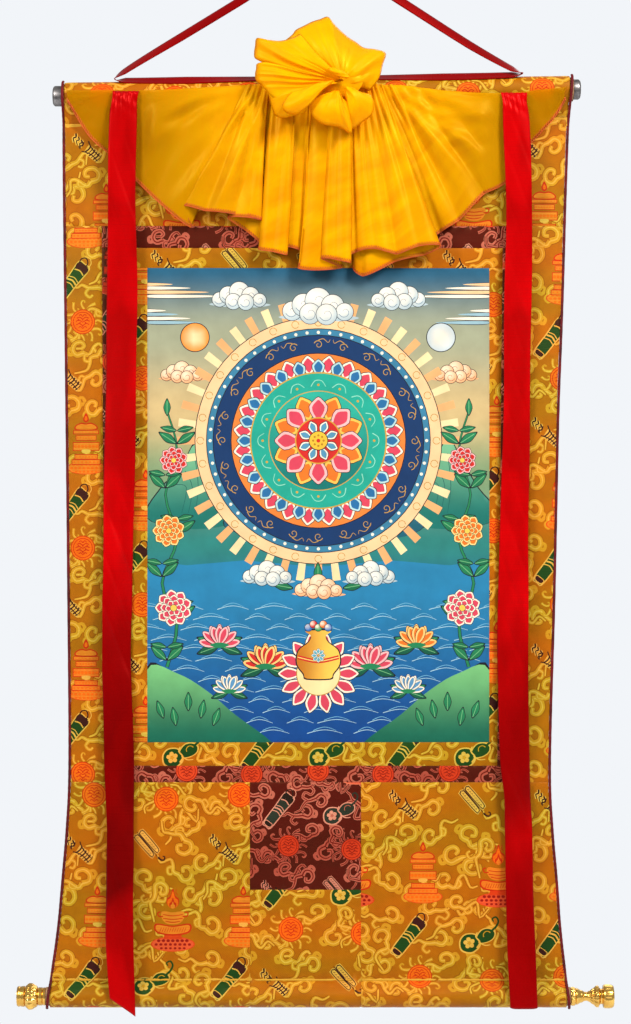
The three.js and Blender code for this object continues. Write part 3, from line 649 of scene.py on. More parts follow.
def cloth_piece(name, outline, grid, drawing, tell_paint, place, thickness, front, back):
    """A closed thin sheet. Its front carries the drawing, and its back is plain."""
    points, triangles, corners = laid_drawing(outline, grid, drawing, tell_paint)
    used = sorted({k for triangle in triangles for k in triangle})
    slot_of = {k: index for index, k in enumerate(used)}
    triangles = [tuple(slot_of[k] for k in triangle) for triangle in triangles]
    flat = [points[k] for k in used]
    rim = rim_of(triangles)
    b_points, b_triangles, sources = cut_flat([flat[k] for k in rim], [], grid)
    base = len(flat)
    verts = [place(u, v, 0.0) for u, v in flat] + [place(u, v, thickness) for u, v in b_points]
    twin = {source: base + index for index, group in enumerate(sources) for source in group}
    faces = triangles + [tuple(base + k for k in triangle[::-1]) for triangle in b_triangles]
    uvs = [flat[k] for triangle in triangles for k in triangle]
    uvs += [b_points[k] for triangle in b_triangles for k in triangle[::-1]]
    for index, start in enumerate(rim):
        after = (index + 1) % len(rim)
        quad = [(rim[after], rim[after]), (start, start), (twin[index], start), (twin[after], rim[after])]
        if twin[index] == twin[after]:
            quad.pop()
        faces.append(tuple(vert for vert, _ in quad))
        uvs.extend(flat[k] for _, k in quad)
    paints = [paint for triangle in corners for paint in triangle]
    paints += [tell_paint("ground", *flat[0])] * (len(uvs) - len(paints))
    piece = new_piece(name, verts, faces, front, back, outwards=False)
    mesh = piece.data
    mesh.polygons.foreach_set("material_index", [int(k >= len(triangles)) for k in range(len(faces))])
    lay_out(mesh, uvs)
    attribute = mesh.color_attributes.new("paint", "FLOAT_COLOR", "CORNER")
    attribute.data.foreach_set("color", [value for paint in paints for value in paint])
    shape = bmesh.new()
    shape.from_mesh(mesh)
    for edge in shape.edges:
        edge.smooth = len({face.material_index for face in edge.link_faces}) == 1
    shape.to_mesh(mesh)
    shape.free()
    return piece


def set_outwards(mesh):
    shape = bmesh.new()
    shape.from_mesh(mesh)
    bmesh.ops.recalc_face_normals(shape, faces=shape.faces)
    shape.to_mesh(mesh)
    shape.free()


def new_piece(name, verts, faces, *finishes, outwards=True):
    """A smooth piece from points in millimetres."""
    mesh = bpy.data.meshes.new(name)
    mesh.from_pydata([tuple(value * MM for value in vert) for vert in verts], [], faces)
    for finish in finishes:
        mesh.materials.append(finish.material)
    mesh.polygons.foreach_set("use_smooth", [True] * len(faces))
    if outwards:
        set_outwards(mesh)
    piece = bpy.data.objects.new(name, mesh)
    bpy.context.scene.collection.objects.link(piece)
    return piece


def lay_out(mesh, places):
    """The place of each face corner on the flat cloth, in millimetres."""
    layer = mesh.uv_layers.new(name="cloth")
    layer.uv.foreach_set("vector", [value * MM for place in places for value in place])


def pick(piece):
    bpy.ops.object.select_all(action="DESELECT")
    bpy.context.view_layer.objects.active = piece
    piece.select_set(True)


# Brocade, woven: satin ground, raised cloud and figure threads
def brocade_finish(name, warm, cool, shade):
    cloth = Finish(name, Specular_IOR_Level=0.25, Specular_Tint=tint(255, 220, 150))
    flat = cloth.flat()
    paint = cloth.painted()
    lie = cloth.painted(output="Alpha")
    drift = cloth.noise(cloth.stretched(flat, (3.0, 14.0, 1.0)), 1.0, 2.0)
    bands = cloth.mix(cloth.span(drift, 0.4, 0.6, 0.0, 1.0), warm, cool)
    banded = cloth.mix(1.0, paint, bands, blend="MULTIPLY")
    mottle = cloth.noise(flat, 60.0, 4.0)
    tone = cloth.mix(cloth.span(mottle, 0.3, 0.75, 0.0, 0.5), banded, shade, blend="MULTIPLY")
    warp = cloth.wave(cloth.stretched(flat, (1.0, 1.0, 1.0), 38), 190.0, "X", 0.6)
    weft = cloth.wave(flat, 160.0, "Y", 1.2)
    thread = warp * (1 - lie) + weft * lie
    colour = cloth.mix(cloth.span(thread, 0.0, 1.0, 0.22, 0.0), tone, tint(90, 60, 20), blend="MULTIPLY")
    slub = cloth.noise(cloth.stretched(flat, (30.0, 900.0, 1.0)), 1.0, 2.0)
    cloth.feed(Base_Color=colour, Roughness=cloth.span(slub, 0.3, 0.7, 0.4, 0.56) + lie * 0.06)
    cloth.bump(thread * 0.6 + slub * 0.5 + lie * 0.5, 0.55, 0.18)
    return cloth


def lining_finish():
    cloth = Finish("lining_weave", Specular_IOR_Level=0.2)
    flat = cloth.flat()
    warp = cloth.wave(flat, 240.0, "X", 0.8)
    weft = cloth.wave(flat, 240.0, "Y", 0.8)
    mottle = cloth.noise(flat, 40.0, 4.0)
    colour = cloth.mix(cloth.span(mottle, 0.3, 0.7, 0.0, 1.0), tint(196, 144, 40), tint(188, 136, 34))
    cloth.feed(Base_Color=colour, Roughness=cloth.span(mottle, 0.3, 0.7, 0.7, 0.85))
    cloth.bump(warp * weft, 0.5, 0.15)
    return cloth


gold_brocade = brocade_finish(
    "gold_brocade_weave", tint(255, 238, 200), tint(228, 252, 200), tint(214, 196, 150))
red_brocade = brocade_finish(
    "maroon_brocade_weave", tint(255, 255, 255), tint(226, 190, 190), tint(214, 170, 160))
lining = lining_finish()


def spaced(low, high, step):
    count = max(1, round(abs(high - low) / step))
    return [lerp(low, high, k / count) for k in range(count + 1)]


# How close together the points of a cloth lie: along its outline, inside it, and beside its seams
OUTLINE_STEP, GRID_STEP, PICTURE_STEP, ROUND_STEP = 7, 9, 8, 2.6
SEAM_ROWS = (0.6, 1.5, 3.0)

def grid_points(left, right, top, bottom, step):
    """Points inside a panel, on an even grid, and close together along its seams."""
    points = []
    rows = spaced(top, bottom, step)[1:-1]
    rows += [top - inset for inset in SEAM_ROWS] + [bottom + inset for inset in SEAM_ROWS]
    for v in rows:
        columns = spaced(left(v), right(v), step)[1:-1]
        columns += [left(v) + inset for inset in SEAM_ROWS] + [right(v) - inset for inset in SEAM_ROWS]
        points.extend((u, v) for u in columns)
    return points


def panel_outline(left, right, top, bottom):
    downs = spaced(top, bottom, OUTLINE_STEP)
    outline = [(left(v), v) for v in downs]
    outline += [(u, bottom) for u in spaced(left(bottom), right(bottom), OUTLINE_STEP)[1:]]
    outline += [(right(v), v) for v in downs[::-1][1:]]
    outline += [(u, top) for u in spaced(left(top), right(top), OUTLINE_STEP)[::-1][1:-1]]
    return outline


def seam_roll(nearest):
    """A sewn edge turns back into its seam."""
    return 0.75 * (1 - smoothstep(nearest, 0.0, 2.6)) ** 2


def seam_dip(u, v, left, right, top, bottom):
    """The turned edge, and the small puckers of the cloth beside it."""
    nearest = min(u - left(v), right(v) - u, top - v, v - bottom)
    pucker = 0.22 * math.sin((u + v) / 1.9 + 1.3 * math.sin((u - v) / 23))
    return seam_roll(nearest) + pucker * (1 - smoothstep(nearest, 1.0, 9.0))


def flat_place(left, right, top, bottom, thickness):
    def place(u, v, depth):
        return (u, hang(u, v) - thickness / 2 + depth + seam_dip(u, v, left, right, top, bottom), v)
    return place


def tiled(outline, origin, size=1.0, spill=60):
    """The brocade's repeat laid over a panel from its own starting place. Motifs spill over its edges."""
    low, high = np.min(outline, axis=0), np.max(outline, axis=0)
    repeat = [length * size for length in REPEAT]
    columns, rows = ([origin[k] + n * repeat[k] for n in range(
        math.floor((low[k] - origin[k]) / repeat[k]) - 1,
        math.ceil((high[k] - origin[k]) / repeat[k]) + 2)] for k in (0, 1))
    d = Drawing()
    for layer in CELL_LAYERS:
        for y in rows:
            for x in columns:
                if (low[0] - repeat[0] <= x + spill and x - spill <= high[0]
                        and low[1] <= y + spill and y - repeat[1] - spill <= high[1]):
                    d.stamp(layer, x, y, size=size)
    return d


PANELS = [
    # name, threads, top, bottom, left, right, pattern origin, pattern size
    ("maroon_top", "red", "top_seam", "red_top_end", seam_at(1, 1), seam_at(4, -1), (-190, -318), 0.9),
    ("maroon_bottom", "red", "inner_end", "red_end", seam_at(1, 1), seam_at(4, -1), (-160, -750), 0.9),
    ("maroon_left", "red", "red_top_end", "inner_end", seam_at(1, 1), seam_at(2, -1), (-250, -500), 0.9),
    ("maroon_right", "red", "red_top_end", "inner_end", seam_at(3, 1), seam_at(4, -1), (240, -470), 0.9),
    ("inner_top", "gold", "red_top_end", "picture_top", seam_at(2, 1), seam_at(3, -1), (-166, -316), 1.0),
    ("inner_bottom", "gold", "picture_bottom", "inner_end", seam_at(2, 1), seam_at(3, -1), (-60, -748), 1.0),
    ("inner_left", "gold", "picture_top", "picture_bottom", seam_at(2, 1), upright(PICTURE[0], -1),
     (-214, -520), 1.0),
    ("inner_right", "gold", "picture_top", "picture_bottom", upright(PICTURE[1], 1), seam_at(3, -1),
     (214, -430), 1.0),
    ("left_border", "gold", "top_seam", "red_end", edge_at("left"), seam_at(1, -1), (-287, -451), 1.0),
    ("right_border", "gold", "top_seam", "red_end", seam_at(4, 1), edge_at("right"), (298, -244), 1.0),
    ("door_panel", "red", "red_end", "door_end", upright(DOOR[0], 1), upright(DOOR[1], -1),
     (-36, -1090), 0.88),
]


def rest_on_root(piece, slot_name, *nodes):
    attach(piece, "root")
    if nodes:
        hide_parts(*nodes)
    return piece


def make_panels():
    kinds = {"gold": (gold_brocade, GOLD_THREADS, "gold_brocade"),
             "red": (red_brocade, RED_THREADS, "maroon_brocade")}
    for name, kind, top_name, bottom_name, left, right, origin, size in PANELS:
        finish, threads, slot_name = kinds[kind]
        top, bottom = HEIGHTS[top_name] - SEAM / 2, HEIGHTS[bottom_name] + SEAM / 2
        outline = panel_outline(left, right, top, bottom)
        piece = cloth_piece(
            "cloth_" + name, outline, grid_points(left, right, top, bottom, GRID_STEP),
            tiled(outline, origin, size), lambda paint, x, y: threads[paint],
            flat_place(left, right, top, bottom, BROCADE), BROCADE, finish, lining)
        rest_on_root(piece, slot_name, name)
        wide = right((top + bottom) / 2) - left((top + bottom) / 2)
        wide * MM


SLEEVE_TAIL = 9.0
STITCH_WIDTH, STITCH_DEPTH, PUCKER_WIDTH, PUCKER_DEPTH = 1.7, 1.6, 8, 0.3

def sleeve_place(rod, flat_end, toward, left, right, thickness):
    """Flat cloth as far as the stitching, then round the rod and down behind. v runs along the cloth."""
    radius = rod["radius"] + SLEEVE_EASE
    reach = abs(rod["z"] - rod["stitch"])
    lean = math.asin(radius / reach)
    slope_run = math.sqrt(reach * reach - radius * radius)
    round_run = radius * (math.pi + 2 * lean)
    flat_run = abs(rod["stitch"] - flat_end)
    total = flat_run + 2 * slope_run + round_run + SLEEVE_TAIL

    def section(s):
        """The middle of the cloth after a run of s: how far back, and how far past the stitching."""
        if s < flat_run:
            return 0.0, s - flat_run
        s -= flat_run
        if s < slope_run:
            return -s * math.sin(lean), s * math.cos(lean)
        s -= slope_run
        if s < round_run:
            angle = math.pi + lean - s / radius
            return radius * math.cos(angle), reach + radius * math.sin(angle)
        s -= round_run
        if s < slope_run:
            return (slope_run - s) * math.sin(lean), (slope_run - s) * math.cos(lean)
        s -= slope_run
        return 1.5 * smoothstep(s, 0, 3), -s

    def place(u, v, depth):
        s = clamp(toward * (v - flat_end), 0.0, total)
        a, b = section(max(s - 0.6, 0.0)), section(min(s + 0.6, total))
        y, past = section(s)
        run = math.hypot(b[0] - a[0], b[1] - a[1]) or 1.0
        z = rod["stitch"] + toward * past
        dip = seam_roll(min(u - left(z), right(z) - u, s))
        dip += STITCH_DEPTH * math.exp(-((s - flat_run) / STITCH_WIDTH) ** 2)
        dip += (PUCKER_DEPTH * math.sin(u / 2.3 + math.sin(u / 31))
                * math.exp(-((s - flat_run) / PUCKER_WIDTH) ** 2))
        off = (thickness / 2 - dip - depth) / run
        y -= (b[1] - a[1]) * off
        z += toward * (b[0] - a[0]) * off
        if toward > 0:
            z += rod["slope"] * u * smoothstep(z, HEIGHTS["top_seam"], ROD["stitch"])
        return (u, y + hang(u, z), z)
    return place, total


SLEEVES = [
    # name, rod, flat end, toward, left, right, pattern origin
    ("top_panel", ROD, "top_seam", 1, edge_at("left"), edge_at("right"), (-262, -170)),
    ("bottom_left_panel", ROLLER, "red_end", -1, edge_at("left"), upright(DOOR[0], -1), (-273, -1028)),
    ("door_lower_panel", ROLLER, "door_end", -1, upright(DOOR[0], 1), upright(DOOR[1], -1), (-33, -1192)),
    ("bottom_right_panel", ROLLER, "red_end", -1, upright(DOOR[1], 1), edge_at("right"), (124, -974)),
]


def make_sleeve_panels():
    for name, rod, end_name, toward, left, right, origin in SLEEVES:
        flat_end = HEIGHTS[end_name] + toward * SEAM / 2
        place, total = sleeve_place(rod, flat_end, toward, left, right, BROCADE)
        bottom, top = sorted((flat_end, flat_end + toward * total))
        below, above = sorted((flat_end, rod["stitch"] + toward * abs(rod["z"] - rod["stitch"])))
        sides = [lambda v, edge=edge: edge(clamp(v, below, above)) for edge in (left, right)]
        outline = panel_outline(*sides, top, bottom)
        round_run = total - abs(rod["stitch"] - flat_end)
        rows = [rod["stitch"] + toward * k * ROUND_STEP for k in range(int(round_run / ROUND_STEP))]
        grid = grid_points(*sides, top, bottom, GRID_STEP)
        grid += [(u, v) for v in rows if bottom + 1 < v < top - 1
                 for u in spaced(sides[0](v), sides[1](v), GRID_STEP)[1:-1]]
        piece = cloth_piece(
            "cloth_" + name, outline, grid, tiled(outline, origin), lambda paint, x, y: GOLD_THREADS[paint],
            place, BROCADE, gold_brocade, lining)
        rest_on_root(piece, "gold_brocade", name)
        (right(flat_end) - left(flat_end)) * MM
        total * MM
        "top_rod" if toward > 0 else "bottom_roller"


# The painting: a made-up pattern of lotus rings, clouds, flowers and water, laid on as flat colours
def shade(low, high, axis, start, end):
    """A paint that changes evenly from one colour to another along x or y."""
    return ("blend", low, high, axis, start, end)


def glow(inner, outer, x, y, radius):
    return ("glow", inner, outer, x, y, radius)


def blended(a, b, t):
    return tuple(lerp(p, q, t) for p, q in zip(a, b))


def picture_paint(paint, x, y):
    """The colour of a paint at a place in the picture."""
    if paint == "ground":
        return sky(y)
    if paint[0] == "blend":
        _, low, high, axis, start, end = paint
        return blended(low, high, smoothstep(x if axis == "x" else y, start, end))
    if paint[0] == "glow":
        _, inner, outer, cx, cy, radius = paint
        return blended(inner, outer, smoothstep(math.hypot(x - cx, y - cy), 0, radius))
    return paint


SKY_STOPS = [
    (-963.8, tint(20, 80, 140)), (-800, tint(24, 100, 156)), (-720, tint(44, 130, 128)),
    (-640, tint(128, 160, 122)), (-560, tint(206, 184, 134)), (-470, tint(160, 168, 144)),
    (-385.5, tint(30, 92, 128)),
]


def sky(y):
    for (low, a), (high, b) in zip(SKY_STOPS, SKY_STOPS[1:]):
        if y <= high:
            return blended(a, b, smoothstep(y, low, high))
    return SKY_STOPS[-1][1]


INK = tint(28, 26, 40)
GOLD_LINE = tint(206, 160, 60)
WHITE = tint(246, 240, 226)
PINK, DEEP_PINK = tint(246, 190, 196), tint(214, 70, 96)
PEACH, NAVY, TEAL = tint(245, 206, 160), tint(20, 56, 108), tint(34, 168, 152)
ORANGE, RED, LEAF = tint(238, 120, 40), tint(206, 44, 40), tint(36, 132, 88)
DARK_LEAF, OCHRE, AQUA = tint(14, 84, 66), tint(176, 132, 34), tint(92, 176, 204)


def petal(length, width, tip=0.22):
    side = [(0.28, 0.36), (0.62, 0.5), (0.88, tip)]
    return [(0, 0), *((length * u, width * v) for u, v in side), (length, 0),
            *((length * u, -width * v) for u, v in side[::-1])]


def petal_ring(d, x, y, inner, length, width, count, edge, heart, turn=0.0, line=0.9):
    for k in range(count):
        for shrink, paint in ((0.0, INK), (line, edge), (line + width * 0.14, heart)):
            long, wide = (length - 2 * shrink) / length, (width - 2 * shrink) / width
            points = [(inner + shrink + px * long, py * wide) for px, py in petal(length, width)]
            d.blob(turned(points, x, y, math.radians(360 * k / count + turn)), paint, 2)


def ring(d, x, y, radius, paint, line=INK, edge=1.0, sides=64):
    d.disc(x, y, radius + edge, line, sides=sides)
    d.disc(x, y, radius, paint, sides=sides)


def cloud(d, x, y, size, tones, flip=1):
    """A heap of round puffs with curled outlines."""
    foot = ((-46, -7), (-24, -11), (0, -10), (26, -12), (48, -8), (26, -4), (0, 0), (-24, -3))
    d.blob([(x + flip * px * size, y + py * size) for px, py in foot], tones[1])
    for px, py, wide in ((-30, 0, 11), (-17, 7, 13), (0, 12, 15), (17, 6, 13), (31, -1, 10), (-9, -3, 12),
                         (10, -4, 12)):
        cx, cy, radius = x + flip * px * size, y + py * size, wide * size
        d.disc(cx, cy, radius + 0.7, INK, sides=22)
        d.disc(cx, cy, radius, glow(tones[0], tones[1], cx - 2, cy + radius * 0.4, radius * 1.5), sides=22)
        curl = spiral(cx, cy, radius * 0.72, radius * 0.2, 200 if flip > 0 else -20, 0.9 * flip, 8)
        d.curve(curl, 0.7, tones[2], tip=0.4, steps=2)


def streak(d, x, y, length, tones, flip):
    """Long thin clouds, one over the other, drawn towards a side."""
    for k, (dy, reach) in enumerate(((0, 1.0), (5, 0.8), (10, 0.55), (14.5, 0.3))):
        left, right, at = x - flip * length * 0.1 * k, x + flip * length * reach, y + dy
        middle = (left + right) / 2
        d.blob([(left, at - 2.2), (middle, at - 2.6), (right, at), (middle, at + 2.4), (left, at + 2.2)], INK)
        d.blob([(left, at - 1.6), (middle, at - 1.9), (right - flip * 3, at), (middle, at + 1.8),
                (left, at + 1.6)], tones[k % len(tones)])


def leaf(d, x, y, length, turn):
    """A pointed leaf with a pale midrib."""
    angle = math.radians(turn)
    shape = [(0, 0), (0.25, 0.16), (0.5, 0.22), (0.78, 0.13), (1, 0), (0.78, -0.13), (0.5, -0.22),
             (0.25, -0.16)]
    for grow, fill in ((1.0, INK), (0.86, shade(DARK_LEAF, LEAF, "y", y - 12, y + 14))):
        points = [((px - 0.5) * grow + 0.5, py * (grow - 0.06)) for px, py in shape]
        d.blob(turned(points, x, y, angle, length), fill, 3)
    d.stroke(turned([(0.08, 0), (0.82, 0)], x, y, angle, length), 0.7, tint(120, 196, 140))


def peony(d, x, y, size, tones):
    for count, reach, inner, width in ((9, 13, 9, 13), (8, 11, 5, 11), (6, 9, 1.5, 9)):
        petal_ring(d, x, y, inner * size, reach * size, width * size, count, tones[0], tones[1],
                   turn=11 * count, line=0.6)
    d.disc(x, y, 4.2 * size, INK, sides=14)
    d.disc(x, y, 3.6 * size, tint(250, 206, 90), sides=14)


def lotus(d, x, y, size, tones):
    """A lotus seen from the side: petals fanned upwards in three rows."""
    for spread, length, width, count in ((78, 26, 11, 7), (50, 27, 11, 5), (20, 25, 12, 3)):
        for k in range(count):
            angle = math.radians(90 + lerp(spread, -spread, k / (count - 1)))
            for shrink, paint in ((0, INK), (0.7, tones[0]), (3.0, tones[1])):
                points = petal((length - 2 * shrink) * size, (width - 2 * shrink) * size, 0.3)
                d.blob(turned([(px + shrink, py) for px, py in points], x, y, angle), paint, 3)
    d.blob([(x - 12 * size, y + 1), (x, y + 4 * size), (x + 12 * size, y + 1), (x, y - 3 * size)], LEAF)


def ripples(d):
    rng = random.Random(5)
    for row in range(13):
        y = -950 + row * 12.6
        for column in range(9):
            x = -205 + column * 52 + (26 if row % 2 else 0) + rng.uniform(-6, 6)
            reach = rng.uniform(15, 25)
            for k in range(2):
                half = reach * (1 - 0.34 * k)
                lift = 3.4 * k
                d.curve([(x - half, y + lift - 3), (x - half * 0.5, y + lift), (x, y + lift + 1.4),
                         (x + half * 0.5, y + lift), (x + half, y + lift - 3)],
                        0.8, tint(120, 186, 220) if k else tint(176, 216, 232), tip=0.4, steps=3)


def mountains(d):
    near, far = (tint(26, 116, 110), tint(120, 190, 150)), (tint(30, 96, 120), tint(130, 180, 190))
    ridge = ((-0.5, 0), (-0.34, 0.42), (-0.16, 0.62), (0, 1), (0.15, 0.7), (0.3, 0.38), (0.5, 0))
    for x, y, wide, tall, tones in ((-150, -690, 120, 92, near), (-70, -700, 90, 60, far),
                                    (158, -690, 126, 98, near), (84, -702, 90, 62, far)):
        for grow, paint in ((1.0, INK), (0.975, shade(tones[0], tones[1], "y", y, y + tall))):
            line = [(x + px * wide * grow, y + py * tall * grow) for px, py in ridge]
            d.blob([*line, (x, y - 14)], paint, 5)
        for k in range(3):
            crag = [(x - wide * 0.1 * k, y + tall * (0.8 - 0.18 * k)),
                    (x - wide * 0.06 * k + 4, y + tall * 0.4), (x - 8 * k, y + 6)]
            d.curve(crag, 0.8, tint(20, 80, 84), tip=0.4)


def rays(d, x, y, inner, outer, count):
    for k in range(count):
        start, end = math.radians(360 * (k - 0.22) / count), math.radians(360 * (k + 0.22) / count)
        corners = ((inner, start), (outer, start), (outer, end), (inner, end))
        d.fill([around(x, y, radius, angle) for radius, angle in corners],
               tint(248, 226, 178) if k % 2 else tint(236, 176, 120))


def big_wheel(d, x, y):
    """Rings of petals, beads and scrolls round an open lotus."""
    rays(d, x, y, 140, 172, 48)
    ring(d, x, y, 150, glow(tint(252, 226, 190), PEACH, x, y, 150))
    for k in range(32):
        d.stroke(arc(*around(x, y, 144, math.tau * k / 32), 4.4, 0, 330, count=9), 0.8, OCHRE)
    ring(d, x, y, 136, tint(58, 128, 168))
    d.bead_ring(x, y, 132, 60, 2.0, WHITE)
    ring(d, x, y, 128, NAVY)
    scroll = Drawing()
    scroll.curve(spiral(0, 0, 6.2, 1.2, 200, 1.2, 10), 1.0, GOLD_LINE, tip=0.5, steps=2)
    scroll.curve([(0, -6.2), (7, -8), (13, -3), (16, -7)], 1.0, GOLD_LINE, tip=0.4)
    for k in range(24):
        d.stamp(scroll, *around(x, y, 117, math.radians(15 * k)), 15 * k + 90, 0.9, 1 if k % 2 else -1)
    ring(d, x, y, 106, tint(232, 132, 60))
    petal_ring(d, x, y, 80, 25, 19, 24, WHITE, DEEP_PINK, turn=7.5)
    petal_ring(d, x, y, 78, 22, 17, 24, tint(180, 220, 230), tint(40, 110, 170))
    ring(d, x, y, 82, TEAL, line=GOLD_LINE, edge=1.6)
    swag = Drawing()
    swag.curve([(-9, -4), (-4, 3), (4, 3), (9, -4)], 1.1, tint(150, 224, 204), tip=0.6)
    swag.disc(0, -2, 1.6, GOLD_LINE, sides=8)
    for k in range(16):
        d.stamp(swag, *around(x, y, 70, math.radians(22.5 * k)), 22.5 * k - 90)
    ring(d, x, y, 60, shade(tint(20, 118, 116), tint(44, 176, 160), "y", y - 60, y + 60), line=GOLD_LINE)
    petal_ring(d, x, y, 26, 32, 24, 8, tint(250, 196, 90), ORANGE, turn=22.5)
    petal_ring(d, x, y, 22, 32, 24, 8, PINK, DEEP_PINK)
    ring(d, x, y, 27, RED, line=GOLD_LINE, edge=1.6)
    petal_ring(d, x, y, 8, 18, 12, 8, WHITE, tint(84, 150, 190), turn=22.5)
    ring(d, x, y, 11, tint(240, 190, 60))
    d.bead_ring(x, y, 6.4, 8, 1.5, OCHRE)
    d.disc(x, y, 2.4, RED, sides=10)


def treasure_vase(d, x, y):
    side = ((14, -6), (18, 0), (26, 12), (24, 28), (12, 38), (9, 46), (15, 52))
    outline = [(-px, py) for px, py in side] + list(side[::-1])
    brass = shade(tint(196, 120, 30), tint(250, 206, 90), "x", x - 26, x + 20)
    for grow, paint in ((1.06, INK), (1.0, brass)):
        d.blob([(x + px * grow, y + (py - 20) * grow + 20) for px, py in outline], paint)
    for width, paint in ((5.0, RED), (1.2, tint(250, 214, 120))):
        d.curve([(x - 25, y + 20), (x, y + 15), (x + 25, y + 20)], width, paint)
    petal_ring(d, x, y + 22, 1, 8, 6, 8, WHITE, AQUA, line=0.5)
    for k, tone in enumerate((tint(40, 110, 190), RED, tint(40, 150, 90), ORANGE, tint(40, 110, 190))):
        bx, by = x - 12 + 6 * k, y + 56 + (4 if k % 2 else 0)
        d.disc(bx, by, 5.0, INK, sides=14)
        d.disc(bx, by, 4.4, glow(WHITE, tone, bx - 1.5, by + 1.5, 5), sides=14)


WHITES = (tint(252, 250, 242), tint(176, 200, 214), tint(70, 112, 150))
PEACHES = (tint(253, 232, 206), tint(238, 176, 128), tint(160, 90, 60))


def draw_sky(d):
    for side in (-1, 1):
        streak(d, side * 206, -420, -88, (WHITE, PEACH), side)
        streak(d, side * 206, -452, -60, (tint(150, 190, 210), WHITE), side)
    ring(d, -150, -470, 17, glow(tint(255, 236, 190), tint(240, 150, 60), -150, -470, 18))
    ring(d, 150, -470, 17, glow(WHITE, tint(196, 214, 226), 150, -470, 18))
    mountains(d)
    for x, y, size, tones, flip in ((-96, -424, 0.8, WHITES, 1), (98, -424, 0.8, WHITES, -1),
                                    (-166, -516, 0.62, PEACHES, 1), (168, -516, 0.62, PEACHES, -1)):
        cloud(d, x, y, size, tones, flip)


def draw_water(d):
    shore = [(-208, -964), (-208, -742), (-160, -748), (-90, -742), (0, -750), (90, -742), (160, -748),
             (209, -742), (209, -964)]
    d.fill(shore, shade(tint(14, 70, 146), tint(40, 132, 184), "y", -960, -750))
    ripples(d)
    grass = shade(tint(20, 104, 84), tint(120, 196, 130), "y", -960, -860)
    for side in (-1, 1):
        for grow, paint in ((1.0, INK), (0.97, grass)):
            d.blob([(side * 208.6, -975), (side * 208.6, -872 - 120 * (1 - grow)), (side * 176 * grow, -880),
                    (side * 138 * grow, -902), (side * 104 * grow, -930), (side * 60 * grow, -962),
                    (side * 60 * grow, -975)], paint, 5)
        for k in range(5):
            leaf(d, side * (128 + 15 * k), -944 + 9 * (k % 3), 24, 90 - side * (10 * k - 20))


def draw_flowers(d):
    for side in (-1, 1):
        stem = [(side * 184, -872), (side * 172, -820), (side * 190, -770), (side * 172, -716),
                (side * 186, -662), (side * 172, -608), (side * 184, -560)]
        d.curve(stem, 4.6, INK, tip=2.4)
        d.curve(stem, 3.2, LEAF, tip=1.4)
        for k, (x, y) in enumerate(stem[:-1]):
            for way in (-1, 1):
                leaf(d, x, y + 8, 27, 90 + way * (48 + 9 * (k % 2)))
                leaf(d, x, y + 24, 21, 90 + way * 78)
        peony(d, side * 176, -800, 1.05, (WHITE, DEEP_PINK))
        peony(d, side * 182, -706, 0.92, (tint(255, 226, 150), ORANGE))
        peony(d, side * 176, -620, 0.8, (PINK, RED))
        leaf(d, side * 184, -566, 22, 90)
    peach, blue = tint(255, 206, 130), tint(90, 150, 200)
    for x, y, size, tones in ((-120, -846, 1.0, (PINK, DEEP_PINK)), (120, -846, 1.0, (peach, ORANGE)),
                              (-64, -872, 1.1, (peach, RED)), (64, -872, 1.1, (PINK, DEEP_PINK)),
                              (-108, -902, 0.8, (WHITE, blue)), (110, -902, 0.8, (WHITE, blue))):
        for turn in (160, 200, 20, -20):
            leaf(d, x, y, 30 * size, turn)
        lotus(d, x, y, size, tones)


def picture_drawing():
    d = Drawing()
    draw_sky(d)
    draw_water(d)
    big_wheel(d, 0.5, -596)
    cloud(d, 0, -438, 1.05, WHITES)
    draw_flowers(d)
    petal_ring(d, 0.5, -880, 20, 30, 17, 14, WHITE, DEEP_PINK)
    ring(d, 0.5, -880, 26, tint(250, 226, 170), line=OCHRE)
    treasure_vase(d, 0.5, -880)
    for x, y, turn in ((-30, -776, 170), (30, -776, 10), (0, -770, 90)):
        leaf(d, x, y, 26, turn)
    for x, y, size, tones, flip in ((-62, -762, 0.72, WHITES, 1), (64, -762, 0.72, WHITES, -1),
                                    (0.5, -778, 0.7, PEACHES, 1)):
        cloud(d, x, y, size, tones, flip)
    return d


def canvas_finish():
    cloth = Finish("painted_canvas", Specular_IOR_Level=0.15)
    flat = cloth.flat()
    paint = cloth.painted()
    grain = cloth.noise(flat, 900.0, 2.0)
    wash = cloth.noise(flat, 35.0, 5.0)
    aged = cloth.mix(1.0, paint, tint(238, 228, 214), blend="MULTIPLY")
    tone = cloth.mix(cloth.span(wash, 0.3, 0.7, 0.0, 0.2), aged, tint(120, 110, 90), blend="MULTIPLY")
    warp = cloth.wave(flat, 260.0, "X", 0.8)
    weft = cloth.wave(flat, 260.0, "Y", 0.8)
    cloth.feed(Base_Color=tone, Roughness=cloth.span(wash, 0.3, 0.7, 0.5, 0.66))
    cloth.bump(warp * weft * 0.7 + grain * 0.5, 0.35, 0.12)
    return cloth


def make_painting():
    left, right = upright(PICTURE[0], 1), upright(PICTURE[1], -1)
    top, bottom = HEIGHTS["picture_top"] - SEAM / 2, HEIGHTS["picture_bottom"] + SEAM / 2
    outline = panel_outline(left, right, top, bottom)
    piece = cloth_piece(
        "painted_canvas", outline, grid_points(left, right, top, bottom, PICTURE_STEP), picture_drawing(),
        picture_paint, flat_place(left, right, top, bottom, BROCADE), BROCADE, canvas_finish(), lining)
    rest_on_root(piece, "picture", "painting_canvas")


